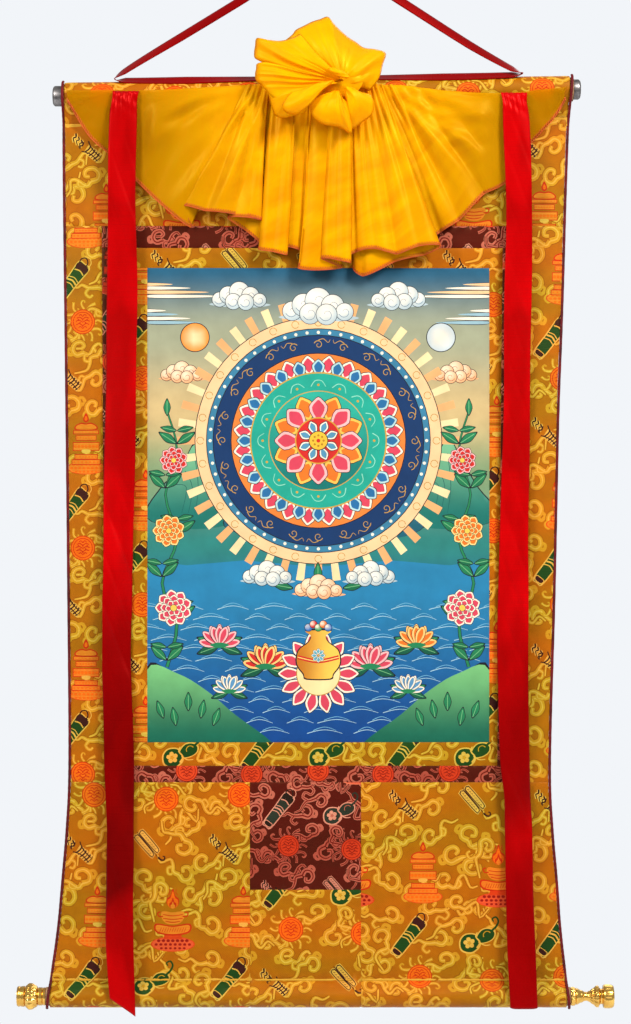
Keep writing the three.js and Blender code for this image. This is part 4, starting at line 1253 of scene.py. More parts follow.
# Woven strips and turned metal
def strip_piece(name, rows, finish, thickness, ring=False):
    """A thin closed sheet through rows of middle points, with its own flat coordinates."""
    high, wide = len(rows), len(rows[0])
    down = [0.0]
    for r in range(1, high + 1):
        step = Vector(rows[r % high][wide // 2]) - Vector(rows[r - 1][wide // 2])
        down.append(down[-1] + step.length)
    across = []
    for row in rows:
        across.append([0.0])
        for a, b in zip(row, row[1:]):
            across[-1].append(across[-1][-1] + (Vector(b) - Vector(a)).length)
    faces, places = [], []
    for r in range(high if ring else high - 1):
        for c in range(wide - 1):
            corners = ((r, c), (r, c + 1), (r + 1, c + 1), (r + 1, c))
            faces.append([rr % high * wide + cc for rr, cc in corners])
            places.extend((across[rr % high][cc], down[rr]) for rr, cc in corners)
    piece = new_piece(name, [point for row in rows for point in row], faces, finish, outwards=False)
    lay_out(piece.data, places)
    solid = piece.modifiers.new("thickness", "SOLIDIFY")
    solid.thickness, solid.offset = thickness * MM, 0
    pick(piece)
    bpy.ops.object.modifier_apply(modifier=solid.name)
    piece.select_set(False)
    return piece


def satin_finish(name, *painted_light_stops):
    """Red satin with painted light. The height and tone pairs, from the bottom up, are painted highlights and
    painted shade along the ribbon, for the light that slides along it.
    """
    cloth = Finish(name, Specular_IOR_Level=0.8, Specular_Tint=tint(255, 50, 44))
    flat = cloth.flat()
    place = cloth.place()
    streak = cloth.noise(cloth.stretched(flat, (9.0, 700.0, 1.0)), 1.0, 2.0)
    mottle = cloth.noise(cloth.stretched(flat, (30.0, 9.0, 1.0)), 1.0, 3.0)
    tone = cloth.mix(cloth.span(mottle, 0.3, 0.7, 0.0, 1.0), tint(176, 0, 2), tint(202, 2, 6))
    across = cloth.node("ShaderNodeSeparateXYZ", {}, [place])
    # Painted highlights and painted shade: the colour is multiplied by a grey ramp over the height, slanted
    # across the ribbon
    height = cloth.node("ShaderNodeSeparateXYZ", {}, [place], output=2) - across * 0.7
    stops = [(clamp(z / 1.3 + 1), tint(t, t, t)) for z, t in painted_light_stops]
    painted_light_ramp = cloth.ramp(cloth.span(height, -1.3, 0.0, 0.0, 1.0), *stops)
    tone = cloth.mix(1.0, tone, painted_light_ramp, blend="MULTIPLY")
    # Painted shade: slanting soft bands darkened towards deep red, standing in for the satin's changing sheen
    # over its creases
    painted_sheen_noise = cloth.noise(cloth.stretched(flat, (22.0, 9.0, 1.0), 32), 1.0, 1.0)
    with_painted_sheen = cloth.mix(cloth.span(painted_sheen_noise, 0.47, 0.58, 0.0, 0.5), tone, tint(120, 0, 0))
    colour = cloth.mix(cloth.span(streak, 0.3, 0.7, 0.0, 0.25), with_painted_sheen, tint(110, 0, 2))
    cloth.feed(Base_Color=colour, Roughness=cloth.span(streak, 0.3, 0.7, 0.26, 0.4))
    thread = cloth.wave(flat, 330.0, "Y", 0.5)
    cloth.bump(streak * 0.7 + thread * 0.3, 0.35, 0.1)
    return cloth


# Painted highlights and painted shade along each ribbon's height; the hanging ribbon's ramp darkens it evenly
# all along
satin = satin_finish("red_satin_cloth", (-1.3, 150), (-1.1, 150))
left_satin = satin_finish(
    "red_satin_left", (-1.12, 232), (-1.01, 216), (-0.97, 122), (-0.8, 126), (-0.66, 176), (-0.56, 252),
    (-0.4, 240), (-0.16, 224))
right_satin = satin_finish(
    "red_satin_right", (-1.3, 180), (-1.25, 216), (-1.2, 160), (-1.1, 174), (-0.98, 240), (-0.66, 255),
    (-0.5, 226), (-0.36, 252))

# Down each ribbon: z, x, width, turn, y, cup, and how deep a slanting crease runs across
LEFT_RIBBON = [
    (-173, -233, 34, 0, -21.2, 0, 0), (-180, -234, 32, 2, -22.5, 1, 0), (-200, -236, 33, 3, -21.6, 2, 0.3),
    (-300, -238, 34, 3, -17, 0, 0.9), (-425, -238, 37, -5, -11, 0.4, 0.2), (-608, -241, 38, -8, -9, 1, 0.2),
    (-730, -243, 37, 13, -9, 2.4, 1.6), (-852, -245, 36, 21, -10, -1.4, 1.2),
    (-900, -244, 36, 4, -10, 1, 0.3),
    (-980, -242, 36, 8, -10, 0.5, 0.3), (-1070, -240, 34, 20, -11, 0.8, 0.2),
    (-1140, -241, 34, -12, -13, 0.6, 0.5), (-1200, -241, 34, -8, -15, 0.4, 0.2),
    (-1262, -238, 33, -2, -18, 0.2, 0), (-1284, -237, 32, 0, -17.5, 0, 0),
]
RIGHT_RIBBON = [
    (-175, 237, 34, 0, -21.2, 0, 0), (-184, 238, 31, 2, -22.6, 1.4, 0), (-205, 240, 32, 5, -21.8, 2.4, 0.5),
    (-303, 244, 32, -4, -17, 0, 0.4), (-425, 243, 33, 2, -11, 0.4, 0.2), (-608, 241, 33, 6, -9, 1, 0.4),
    (-730, 238, 36, -7, -9, 0.3, 0.8), (-852, 237, 38, -12, -10, 1.2, 0.9), (-980, 239, 36, 5, -10, 0.4, 0.3),
    (-1035, 243, 33, 14, -11, 2, 0.8), (-1080, 244, 34, -10, -12, 0.8, 0.2),
    (-1157, 245, 34, 8, -13, 0.4, 0.3), (-1262, 249, 34, 0, -18, 0, 0), (-1286, 250, 34, 0, -17.5, 0, 0),
]
RIBBON_ROWS, RIBBON_COLUMNS = 320, 17


def slanted_end(u, v):
    return 22.0 * u * v ** 12


def straight_end(u, v):
    return 1.6 * (2 * abs(u)) ** 6 * -(v ** 60)


def ribbon_row(table, z, v, end_cut):
    """One row of points across a ribbon at a height, v of the way down."""
    centre, width, turn, stand, cup, crease = (reading(table, column, z) for column in range(1, 7))
    turn = math.radians(turn)
    ruched = 1 - smoothstep(table[0][0] - z, 2, 34)
    row = []
    for c in range(RIBBON_COLUMNS):
        u = c / (RIBBON_COLUMNS - 1) - 0.5
        across = u * width * (1 - 0.06 * ruched)
        bow = cup * (4 * u * u - 0.5)
        along_crease = (z / 62 + u * 1.5) % 1.0
        bow += crease * (math.exp(-((along_crease - 0.5) / 0.09) ** 2) - 0.3)
        bow += 0.35 * math.sin(z / 23 + 4 * u) * (0.4 + crease)
        bow += ruched * (1.5 * math.sin(u * 31 + math.sin(z / 6)) + 0.9 * math.sin(z / 2.6 + u * 9))
        flutter = 0.4 * math.sin(z / 31 + (0.0 if u < 0 else 2.0)) * (2 * abs(u)) ** 3
        row.append((centre + across * math.cos(turn) - bow * math.sin(turn) + flutter,
                    stand + across * math.sin(turn) + bow * math.cos(turn), z - end_cut(u, v)))
    return row


def make_ribbons():
    for name, table, finish, end_cut in (("ribbon_left", LEFT_RIBBON, left_satin, slanted_end),
                                         ("ribbon_right", RIGHT_RIBBON, right_satin, straight_end)):
        top, bottom = table[0][0], table[-1][0]
        rows = [ribbon_row(table, lerp(top, bottom, r / RIBBON_ROWS), r / RIBBON_ROWS, end_cut)
                for r in range(RIBBON_ROWS + 1)]
        piece = strip_piece("satin_" + name, rows, finish, SATIN)
        rest_on_root(piece, "red_satin", name)
        (top - bottom + 8) * MM


LOOP_STOPS = [
    # x, y, z, turn of the width away from front to back
    (0, 0, -0.6, 0), (7, 0, -3.6, 10), (100, -1, -59.5, 66), (186, -4, -115, 58), (236, -7, -143.6, 40),
    (248.5, -7, -149.6, -8), (246, -7, -150.4, -16), (236, -8, -151.4, -40), (150, -9, -154.2, -52),
    (65, -6, -154.4, -34), (-80, -6, -156.0, -34), (-160, -9, -158.2, -52), (-234, -6, -158.0, -40),
    (-245, -6, -157.4, -8), (-247.5, -6, -156, 0), (-236, -6, -147.0, 40), (-168, -3, -105, 60),
    (-90, -1, -57, 66), (-7, 0, -3.6, 10),
]


def make_hanging_ribbon():
    count, each, wide = len(LOOP_STOPS), 16, 6
    middles, turns = [], []
    for span in range(count):
        four = [LOOP_STOPS[(span + k) % count] for k in (-1, 0, 1, 2)]
        for step in range(each):
            middles.append(centripetal([Vector(stop[:3]) for stop in four], step / each))
            turns.append(math.radians(lerp(four[1][3], four[2][3], step / each)))
    rows = []
    for index, (middle, turn) in enumerate(zip(middles, turns)):
        ahead = (middles[(index + 1) % len(middles)] - middles[index - 1]).normalized()
        back = Vector((0, 1, 0))
        side = back * math.cos(turn) + ahead.cross(back) * math.sin(turn)
        lift = ahead.cross(side).normalized()
        shares = [c / (wide - 1) - 0.5 for c in range(wide)]
        rows.append([tuple(middle + side * (u * 12) + lift * (0.3 * math.cos(u * math.pi) - 0.2))
                     for u in shares])
    piece = strip_piece("satin_hanging_ribbon", rows, satin, 0.8, ring=True)
    rest_on_root(piece, "red_satin", "hanging_ribbon")
    length = sum((b - a).length for a, b in zip(middles, middles[1:] + middles[:1]))


def heading(line, index):
    """The way a line of points runs at one of them."""
    return (line[min(index + 1, len(line) - 1)] - line[max(index - 1, 0)]).normalized()


def wall_faces(base, rows, sides):
    """The wall of a tube whose rings of points follow each other from base on."""
    pairs = [(base + r * sides + k, base + r * sides + (k + 1) % sides)
             for r in range(rows - 1) for k in range(sides)]
    return [(a, b, b + sides, a + sides) for a, b in pairs]


def tube_faces(base, rows, sides):
    """A tube's wall and its two flat ends."""
    end = base + (rows - 1) * sides
    return wall_faces(base, rows, sides) + [tuple(range(base, base + sides))[::-1],
                                            tuple(range(end, end + sides))]


BINDING_HEIGHTS = [
    -206, -232, -300, -380, -460, -560, -680, -800, -920, -990, -1030, -1060, -1090, -1120, -1150, -1180,
    -1210, -1236, -1252,
]


def binding_finish():
    cloth = Finish("dark_binding", Specular_IOR_Level=0.2)
    where = cloth.place()
    wear = cloth.noise(where, 50.0, 4.0)
    colour = cloth.mix(cloth.span(wear, 0.35, 0.7, 0.0, 1.0), tint(66, 4, 8), tint(108, 12, 16))
    cloth.feed(Base_Color=colour, Roughness=cloth.span(wear, 0.3, 0.7, 0.55, 0.75))
    cloth.bump(cloth.wave(where, 240.0, "Z", 1.0), 0.5, 0.2)
    return cloth


def binding_line(side):
    """The middle of a piped edge: round the top rod, down the cloth and round the roller."""
    column, inward = (1, 1) if side == "left" else (2, -1)

    def edge(z):
        return reading(EDGES, column, z) + inward * PIPING / 2

    def wrap(rod, turns):
        reach = rod["radius"] + 1.6 + PIPING / 2
        for degrees in turns:
            angle = math.radians(degrees)
            z = rod["z"] + reach * math.sin(angle)
            yield edge(z), -reach * math.cos(angle), z + rod["slope"] * edge(z)
    points = [*wrap(ROD, (78, 52, 26, 0, -24)), *((edge(z), hang(edge(z), z), z) for z in BINDING_HEIGHTS),
              *wrap(ROLLER, (34, 8, -18, -44, -70))]
    return [Vector(point) for point in smooth_line(points, 14)]


def make_bindings():
    finish, sides = binding_finish(), 12
    for side in ("left", "right"):
        line = binding_line(side)
        verts = []
        for index, middle in enumerate(line):
            across = Vector((1, 0, 0))
            out = across.cross(heading(line, index)).normalized() * 0.9
            ridge = PIPING / 2 * (0.97 + 0.05 * math.sin(index * 1.9))
            for k in range(sides):
                angle = math.tau * k / sides
                radius = ridge * (1 + 0.16 * math.cos(angle * 2))
                verts.append(middle + across * radius * math.cos(angle) + out * radius * math.sin(angle))
        piece = new_piece("piped_binding_" + side, verts, tube_faces(0, len(line), sides), finish)
        rest_on_root(piece, "binding", "binding_" + side)


def brass_finish():
    metal = Finish("polished_brass", Metallic=1.0)
    where = metal.place()
    patina = metal.noise(where, 90.0, 4.0)
    scratch = metal.noise(metal.stretched(where, (40.0, 700.0, 700.0)), 1.0, 2.0)
    colour = metal.mix(metal.span(patina, 0.35, 0.75, 0.0, 1.0), tint(236, 190, 96), tint(196, 138, 52))
    metal.feed(Base_Color=colour, Roughness=metal.span(patina, 0.3, 0.7, 0.14, 0.3))
    metal.bump(scratch, 0.15, 0.05)
    return metal


def steel_finish():
    metal = Finish("brushed_steel_cap", Metallic=1.0)
    where = metal.place()
    brush = metal.noise(metal.stretched(where, (60.0, 900.0, 900.0)), 1.0, 2.0)
    stain = metal.noise(where, 120.0, 3.0)
    colour = metal.mix(metal.span(stain, 0.3, 0.7, 0.0, 1.0), tint(150, 144, 140), tint(104, 98, 96))
    metal.feed(Base_Color=colour, Roughness=metal.span(brush, 0.3, 0.7, 0.26, 0.45))
    metal.bump(brush, 0.25, 0.05)
    return metal


def wood_finish():
    timber = Finish("turned_wood")
    grain = timber.noise(timber.stretched(timber.place(), (4.0, 160.0, 160.0)), 1.0, 5.0, distortion=0.6)
    colour = timber.ramp(grain, (0.25, tint(116, 80, 48)), (0.6, tint(166, 124, 80)),
                         (0.9, tint(190, 150, 104)))
    timber.feed(Base_Color=colour, Roughness=timber.span(grain, 0.2, 0.8, 0.5, 0.7))
    timber.bump(grain, 0.3, 0.15)
    return timber


def turned_piece(name, profile, x, z, outwards, flare, finish, sides):
    """A turned piece along x. flare tells how much a petal or flute swells at a place round the axis."""
    line = smooth_profile(profile)
    verts = [(x + outwards * line[0][1], 0.0, z)]
    for radius, at in line:
        for k in range(sides):
            angle = math.tau * k / sides
            r = radius * flare(at, angle)
            verts.append((x + outwards * at, r * math.cos(angle), z + r * math.sin(angle)))
    verts.append((x + outwards * line[-1][1], 0.0, z))
    faces = wall_faces(1, len(line), sides)
    end = 1 + (len(line) - 1) * sides
    for k in range(sides):
        after = (k + 1) % sides
        faces += [(0, 1 + after, 1 + k), (len(verts) - 1, end + k, end + after)]
    piece = new_piece(name, verts, faces, finish)
    pick(piece)
    bpy.ops.object.shade_smooth_by_angle(angle=math.radians(32))
    piece.select_set(False)
    return piece


def smooth_profile(profile):
    """Rows of radius and place, with sharp corners kept where a row is marked hard."""
    line = []
    for (r0, a0, hard0), (r1, a1, _) in zip(profile, profile[1:]):
        steps = 1 if hard0 else 5
        for step in range(steps):
            t = step / steps
            s = t * t * (3 - 2 * t)
            line.append((lerp(r0, r1, s), lerp(a0, a1, t)))
    line.append(profile[-1][:2])
    return line


def petals(count, *bands):
    """How much a knob swells into petals. bands: start, end, depth and phase along it."""
    def flare(at, angle):
        swell = 1.0
        for low, high, depth, phase in bands:
            if low < at < high:
                rise = math.sin(math.pi * (at - low) / (high - low))
                turn = (angle * count / math.tau + phase) % 1.0
                lobe = 1 - abs(2 * turn - 1) ** 2.4
                tip = smoothstep(lobe, 0.15, 0.75) - 0.5
                groove = math.exp(-((turn - 0.5) / 0.06) ** 2) * 0.25
                swell += depth * rise * (tip - groove)
        return swell
    return flare


def cap_profile(length):
    return [
        (11.8, 0, True), (12.4, 0.4, True), (12.4, length - 3.0, True), (12.1, length - 2.2, False),
        (11.0, length - 0.8, False), (9.8, length - 0.2, True), (9.0, length, True),
        (8.4, length - 0.1, True), (8.0, length - 1.0, True), (2.6, length - 1.2, True),
        (2.2, length - 0.5, True), (0.6, length - 0.4, True),
    ]


LEFT_KNOB = [
    # radius, distance from the roller's end, whether a sharp corner follows
    (10.0, 0, True), (10.8, 0.6, True), (10.8, 3.2, True), (10.0, 3.8, True), (10.9, 4.6, False),
    (10.9, 8.8, False), (9.9, 9.8, True), (12.0, 10.6, False), (13.0, 12.5, False), (14.6, 16.5, False),
    (14.8, 20.6, False), (13.0, 24.4, False), (11.4, 25.4, True), (12.6, 26.2, False), (12.4, 29.0, False),
    (11.9, 31.0, False), (12.5, 33.0, False), (11.6, 34.9, True), (9.6, 35.2, True), (9.0, 34.6, True),
    (3.0, 34.4, True), (0.5, 34.4, True),
]
RIGHT_KNOB = [
    (10.6, 0, True), (11.0, 0.6, False), (10.8, 5.2, False), (9.6, 6.5, True), (10.2, 7.2, False),
    (7.6, 13.5, False), (5.6, 17.6, False), (5.4, 20, False), (6.6, 23.5, False), (8.8, 27, False),
    (12.6, 32.4, False), (13.0, 34.0, False), (10.2, 36.0, True), (9.2, 36.6, True), (9.6, 37.8, False),
    (9.2, 39.2, True), (13.6, 40.2, False), (14.2, 42.0, False), (14.2, 48.6, False), (14.0, 50.6, False),
    (12.6, 52.6, True), (11.4, 52.8, True), (10.8, 52.0, True), (4.0, 51.8, True), (3.4, 52.4, True),
    (0.6, 52.5, True),
]


def make_hardware():
    brass, steel, wood = brass_finish(), steel_finish(), wood_finish()
    for name in ("top_rod", "bottom_roller"):
        for slot_row in bpy.data.objects[name].material_slots:
            slot_row.material = wood.material
    for side, x, outwards, length in (("left", -311.8, -1, 11.2), ("right", 311.1, 1, 8.9)):
        piece = turned_piece("steel_cap_" + side, cap_profile(length), x, ROD["z"] + x * ROD["slope"],
                             outwards, lambda at, angle: 1.0, steel, 96)
        rest_on_root(piece, "steel", "top_cap_" + side)
    left_flare = petals(8, (10.6, 24.6, 0.12, 0.0), (15.0, 25.2, 0.06, 0.5))
    right_flare = petals(8, (0.4, 6.4, 0.09, 0.0), (21.0, 35.4, 0.13, 0.5), (40.6, 50.4, 0.05, 0.0))
    for side, x, outwards, profile, flare in (("left", -331.6, -1, LEFT_KNOB, left_flare),
                                              ("right", 307.6, 1, RIGHT_KNOB, right_flare)):
        piece = turned_piece("brass_knob_" + side, profile, x, ROLLER["z"], outwards, flare, brass, 128)
        rest_on_root(piece, "brass", "knob_" + side)


# The silk veil: a gathered fan, and the knot of puffs that it is gathered into
VEIL_FOLDS = [
    # the hem's x, z and y, and where that fold starts on the gathered top edge
    (-304, -184, -9, -305), (-278, -226, -8, -250), (-251, -249, -6, -196), (-205, -296, -9, -138),
    (-154, -337, -5.5, -84), (-167, -311, -9, -86), (-137, -318, -13, -78), (-100, -322, -12, -68),
    (-68, -329, -13, -60), (-110, -325, -8.8, -66), (-88, -340, -5, -62), (-64, -364, -6, -52),
    (-72, -365, -11, -54), (-55, -368, -15, -41), (-37, -371, -14, -27), (-48, -360, -9.5, -26),
    (-16, -368, -8, -12), (-24, -387, -12, -5), (29, -386, -11, 22), (4, -376, -16, 17),
    (22, -378, -20, 29), (40, -382, -19, 39), (33, -378, -14.8, 36), (46, -368, -14, 42),
    (70, -364, -18, 51), (95, -371, -14.5, 59), (122, -361, -18, 68), (149, -360, -13.5, 78),
    (129, -370, -9.4, 73), (94, -378, -8.6, 63), (54, -396, -9.5, 49), (43, -386, -7.5, 46),
    (82, -373, -4, 56), (118, -359, -4, 68), (149, -342, -5, 80), (172, -327, -8, 92),
    (203, -295, -6, 118), (227, -283, -9, 150), (260, -233, -7, 230), (285, -207, -9, 272),
    (301, -182, -9, 302),
]
VEIL_TOP = [(-305, -172), (-168, -171), (-98, -165), (100, -165), (150, -172), (230, -175), (302, -168)]
VEIL_BACK, VEIL_NEAR, VEIL_SQUEEZE, VEIL_CLEARANCE = -4.0, -18.1, 0.45, 1.4
# Soft creases that run from the knot across the fan: x, z at both ends, width, height
VEIL_CREASES = [
    (-76, -170, -166, -305, 7, 6.4), (-70, -176, -140, -262, 6, -4.0), (-90, -168, -205, -240, 11, 5.2),
    (-110, -172, -230, -205, 11, 3.6), (-140, -186, -215, -262, 9, -3.6), (-64, -178, -112, -310, 7, 5.4),
    (-54, -186, -86, -300, 6, -4.0), (-180, -178, -280, -196, 10, 2.4), (-84, -178, -176, -286, 5, -3.2),
    (-66, -184, -126, -318, 5, 4.2), (-100, -176, -190, -214, 6, -3.0), (-150, -180, -214, -226, 7, 2.4),
    (96, -170, 214, -258, 10, 5.0), (110, -168, 230, -212, 9, 3.8), (84, -172, 168, -300, 8, -4.4),
    (130, -172, 216, -190, 7, 2.6), (150, -200, 214, -204, 7, 2.0), (76, -176, 146, -322, 7, 5.4),
    (150, -232, 214, -226, 8, 2.0), (90, -176, 190, -282, 6, 3.8), (100, -182, 206, -240, 6, -3.2),
    (70, -180, 124, -330, 6, -3.6), (120, -174, 205, -182, 5, -2.2),
]


def front_of(x, z):
    """How far in front of its plane the cloth stands, with the loops round the rods."""
    def loop(rod, height):
        outer = rod["radius"] + 2.6
        away, end = abs(z - height), abs(rod["stitch"] - rod["z"])
        lean = math.asin(outer / end)
        if away < outer * math.sin(lean):
            return math.sqrt(outer * outer - away * away)
        return (end - away) * math.tan(lean) if away < end else -99.0
    return max(loop(ROD, ROD["z"] + ROD["slope"] * x), loop(ROLLER, ROLLER["z"]), 0.8 - hang(x, z))


def fold_point(points, at):
    """A point at a share of the folds, on an open line that doesn't overshoot."""
    last = len(points) - 1
    span = min(int(at * last), last - 1)
    first, second = Vector(points[span]), Vector(points[span + 1])
    before = Vector(points[span - 1]) if span else first * 2 - second
    after = Vector(points[span + 2]) if span + 2 <= last else second * 2 - first
    return centripetal([before, first, second, after], at * last - span)


def crease_lift(x, z):
    lift = 0.0
    for x0, z0, x1, z1, width, height in VEIL_CREASES:
        run = Vector((x1 - x0, z1 - z0))
        t = ((x - x0) * run.x + (z - z0) * run.y) / run.length_squared
        if not -0.15 < t < 1.2:
            continue
        aside = abs((x - x0) * run.y - (z - z0) * run.x) / run.length
        ends = smoothstep(t, -0.15, 0.2) * (1 - smoothstep(t, 0.75, 1.2))
        lift += height * ends * math.exp(-(aside / (width * (0.45 + 0.75 * clamp(t)))) ** 2)
    return lift


def silk_finish(name, deep, bright, wing=None):
    """Yellow silk. With a wing colour, the cloth turns to it and half sheer towards both sides."""
    cloth = Finish(name, Specular_IOR_Level=0.5, Specular_Tint=tint(255, 214, 60))
    flat = cloth.flat()
    streak = cloth.noise(cloth.stretched(flat, (420.0, 18.0, 1.0)), 1.0, 2.0)
    mottle = cloth.noise(flat, 22.0, 3.0)
    warp = cloth.wave(flat, 300.0, "X", 0.4)
    weft = cloth.wave(flat, 300.0, "Y", 0.4)
    tone = cloth.mix(cloth.span(mottle, 0.3, 0.7, 0.0, 1.0), deep, bright)
    if wing:
        side = cloth.node("ShaderNodeSeparateXYZ", {}, [cloth.place()])
        aside = cloth.node("ShaderNodeMath", {"operation": "ABSOLUTE"}, [side - 0.02])
        tone = cloth.mix(cloth.span(aside, 0.07, 0.2, 0.0, 1.0), tone, wing)
        cloth.feed(Alpha=cloth.span(aside, 0.12, 0.24, 1.0, 0.35))
    colour = cloth.mix(cloth.span(streak, 0.3, 0.7, 0.0, 0.2), tone, tint(236, 140, 0))
    cloth.feed(Base_Color=colour, Roughness=cloth.span(streak, 0.3, 0.7, 0.34, 0.48))
    cloth.bump(warp * weft * 0.5 + streak * 0.5, 0.25, 0.08)
    through = cloth.node("ShaderNodeBsdfTranslucent", {}, {"Color": colour})
    output = cloth.tree.nodes["Material Output"]
    blend = cloth.tree.nodes.new("ShaderNodeMixShader")
    blend.inputs[0].default_value = 0.32
    cloth.tree.links.new(cloth.shader.outputs[0], blend.inputs[1])
    cloth.tree.links.new(through.socket, blend.inputs[2])
    cloth.tree.links.new(blend.outputs[0], output.inputs["Surface"])
    return cloth


silk = silk_finish("gathered_silk", tint(242, 162, 0), tint(254, 196, 0))
fan_silk = silk_finish("fan_silk", tint(230, 142, 0), tint(246, 182, 0), tint(216, 160, 2))
def deepen(x, y):
    """The middle pleats stand further out than the wings."""
    near = 1 - smoothstep(abs(x - 20), 120, 230)
    return VEIL_BACK + (y - VEIL_BACK) * (1.0 + 0.75 * near)


PER_FOLD, VEIL_ROWS = 11, 38


def veil_point(u, v, start, end, bow):
    """A place on the fan: u across it, v down it, between its gathered top and its hem."""
    point = start.lerp(end, v)
    belly = math.sin(math.pi * v)
    wing = smoothstep(abs(point.x - 20), 60, 150)
    calm = 1 - smoothstep(abs(point.x), 196, 216)
    point.x += 2.6 * belly * math.sin(u * 61)
    point.y -= crease_lift(point.x, point.z) * (0.35 + 0.65 * wing) * calm
    point.y -= bow * smoothstep(v, 0.04, 0.5) * calm
    gather = math.sin(u * math.tau * 66) * 0.9 + math.sin(u * math.tau * 37 + 1.2) * 0.8
    point.y -= gather * (1 - smoothstep(v, 0.05, 0.75)) * (0.4 + 0.9 * (1 - wing))
    point.y -= 0.7 * noise.noise(Vector((point.x / 17, v * 1.6, u * 40)))
    point.y -= 1.1 * belly * (end - start).length / 220
    point.z += 1.3 * noise.noise(Vector((u * 46, 3.3, 0))) * smoothstep(v, 0.7, 1.0)
    point.y = min(point.y, -front_of(point.x, point.z) - VEIL_CLEARANCE)
    return tuple(point)


def make_veil_fan():
    tops_x, tops_z = zip(*VEIL_TOP)
    hem = [(x, deepen(x, y), z) for x, z, y, _ in VEIL_FOLDS]
    top = [(x, VEIL_NEAR + VEIL_SQUEEZE * (y - VEIL_BACK), float(np.interp(x, tops_x, tops_z)))
           for _, _, y, x in VEIL_FOLDS]
    columns = (len(VEIL_FOLDS) - 1) * PER_FOLD
    widths = [(Vector(b) - Vector(a)).length for a, b in zip(hem, hem[1:])]
    by_column = []
    for c in range(columns + 1):
        u = c / columns
        width = widths[min(c, columns - 1) // PER_FOLD]
        bow = min(0.15 * width, 7.5) * math.sin(math.pi * (c % PER_FOLD) / PER_FOLD)
        ends = fold_point(top, u), fold_point(hem, u)
        by_column.append([veil_point(u, r / VEIL_ROWS, *ends, bow) for r in range(VEIL_ROWS + 1)])
    grid = [list(row) for row in zip(*by_column)]
    return strip_piece("silk_veil", grid, fan_silk, SILK), grid


def thread_piece(name, lines, radius, sides, finish):
    """Round threads along lines of points, as one piece."""
    verts, faces = [], []
    for line in lines:
        faces += tube_faces(len(verts), len(line), sides)
        for index, middle in enumerate(line):
            ahead = heading(line, index)
            side = ahead.cross(Vector((0.21, 0.93, 0.3))).normalized()
            out = side.cross(ahead)
            for k in range(sides):
                angle = math.tau * k / sides
                verts.append(middle + side * radius * math.cos(angle) + out * radius * math.sin(angle))
    return new_piece(name, verts, faces, finish)


STITCH_SPACING, STITCH_RADIUS = 1.5, 0.6

def make_hem(grid):
    """Overlock stitches: a cord on the raw edge and a zigzag over the last 3 mm, front and back."""
    finish = Finish("hem_thread", Roughness=0.6)
    wear = finish.noise(finish.place(), 400.0, 2.0)
    finish.feed(Base_Color=finish.mix(wear, tint(232, 100, 8), tint(186, 62, 0)))
    edge = [Vector(point) for point in grid[-1]]
    above = [Vector(point) for point in grid[-3]]
    run = [0.0]
    for a, b in zip(edge, edge[1:]):
        run.append(run[-1] + (b - a).length)

    def read(points, at):
        index = clamp(int(np.searchsorted(run, at)) - 1, 0, len(run) - 2)
        t = clamp((at - run[index]) / max(run[index + 1] - run[index], 1e-6))
        return points[index].lerp(points[index + 1], t)
    count = int(run[-1] / STITCH_SPACING)
    front, back, cord = [], [], []
    for k in range(count + 1):
        at = run[-1] * k / count
        low, high = read(edge, at), read(above, at)
        up = (high - low).normalized()
        along = (read(edge, min(at + 1, run[-1])) - read(edge, max(at - 1, 0))).normalized()
        out = along.cross(up).normalized() * 0.42
        reach = 3.4 if k % 2 else -0.15
        front.append(low + up * reach + out)
        back.append(low + up * (3.25 - reach) - out)
        cord.append(low - up * 0.1)
    lines = (front, back, cord)
    return thread_piece("veil_hem_stitch", lines, STITCH_RADIUS, 5, finish), run[-1]


PUFFS = [
    # edge line and root in photo pixels, how far its edge and its root stand in front, number of folds
    ([(268, 66), (281, 45), (292, 35), (296, 30), (304, 26), (312, 22), (320, 19.5), (328, 17), (334, 24),
      (341, 31), (348, 37), (356, 42), (364, 47.5), (376, 49), (386, 53), (383, 64), (381, 73), (378, 80),
      (370, 90)], (343, 84), -28, -47, 13),
    ([(300, 34), (292, 38), (281, 41), (269, 40), (257, 38), (255, 46), (254, 53), (255, 58), (262, 62),
      (270, 66)], (344, 83), -37, -52, 8),
    ([(264, 62), (257, 64), (256, 69), (255, 74), (256, 80), (262, 86), (268, 93), (277, 101)],
     (342, 82), -44, -56, 8),
    ([(263, 86), (268, 94), (271, 105), (275, 115), (283, 118), (294, 116), (306, 112)],
     (318, 86), -40, -54, 5),
    ([(347, 104), (350, 116), (351, 128), (356, 127), (363, 122), (369, 118), (373, 112), (374, 103),
      (371, 95)], (344, 86), -50, -62, 4),
    ([(309, 102), (310, 109), (312, 115), (318, 121), (325, 125), (337, 127), (344, 130), (351, 134),
      (352, 126), (350, 116), (350, 106)], (337, 89), -56, -64, 5),
    ([(291, 92), (285, 100), (282, 106), (284, 111), (289, 114), (296, 114.5), (303, 110), (309, 103)],
     (336, 79), -61, -66, 3),
]


PIXEL = 1.22
CAMERA_X, CAMERA_Z, CAMERA_AWAY = -3, -683, 3200


def from_photo(px, py, y=0.0):
    """A place in the photograph as x and z, for something that stands y in front of the cloth."""
    nearer = 1 + y / CAMERA_AWAY
    return (CAMERA_X + ((px - 318) * PIXEL - CAMERA_X) * nearer,
            CAMERA_Z - (CAMERA_Z + (py + 48) * PIXEL) * nearer)


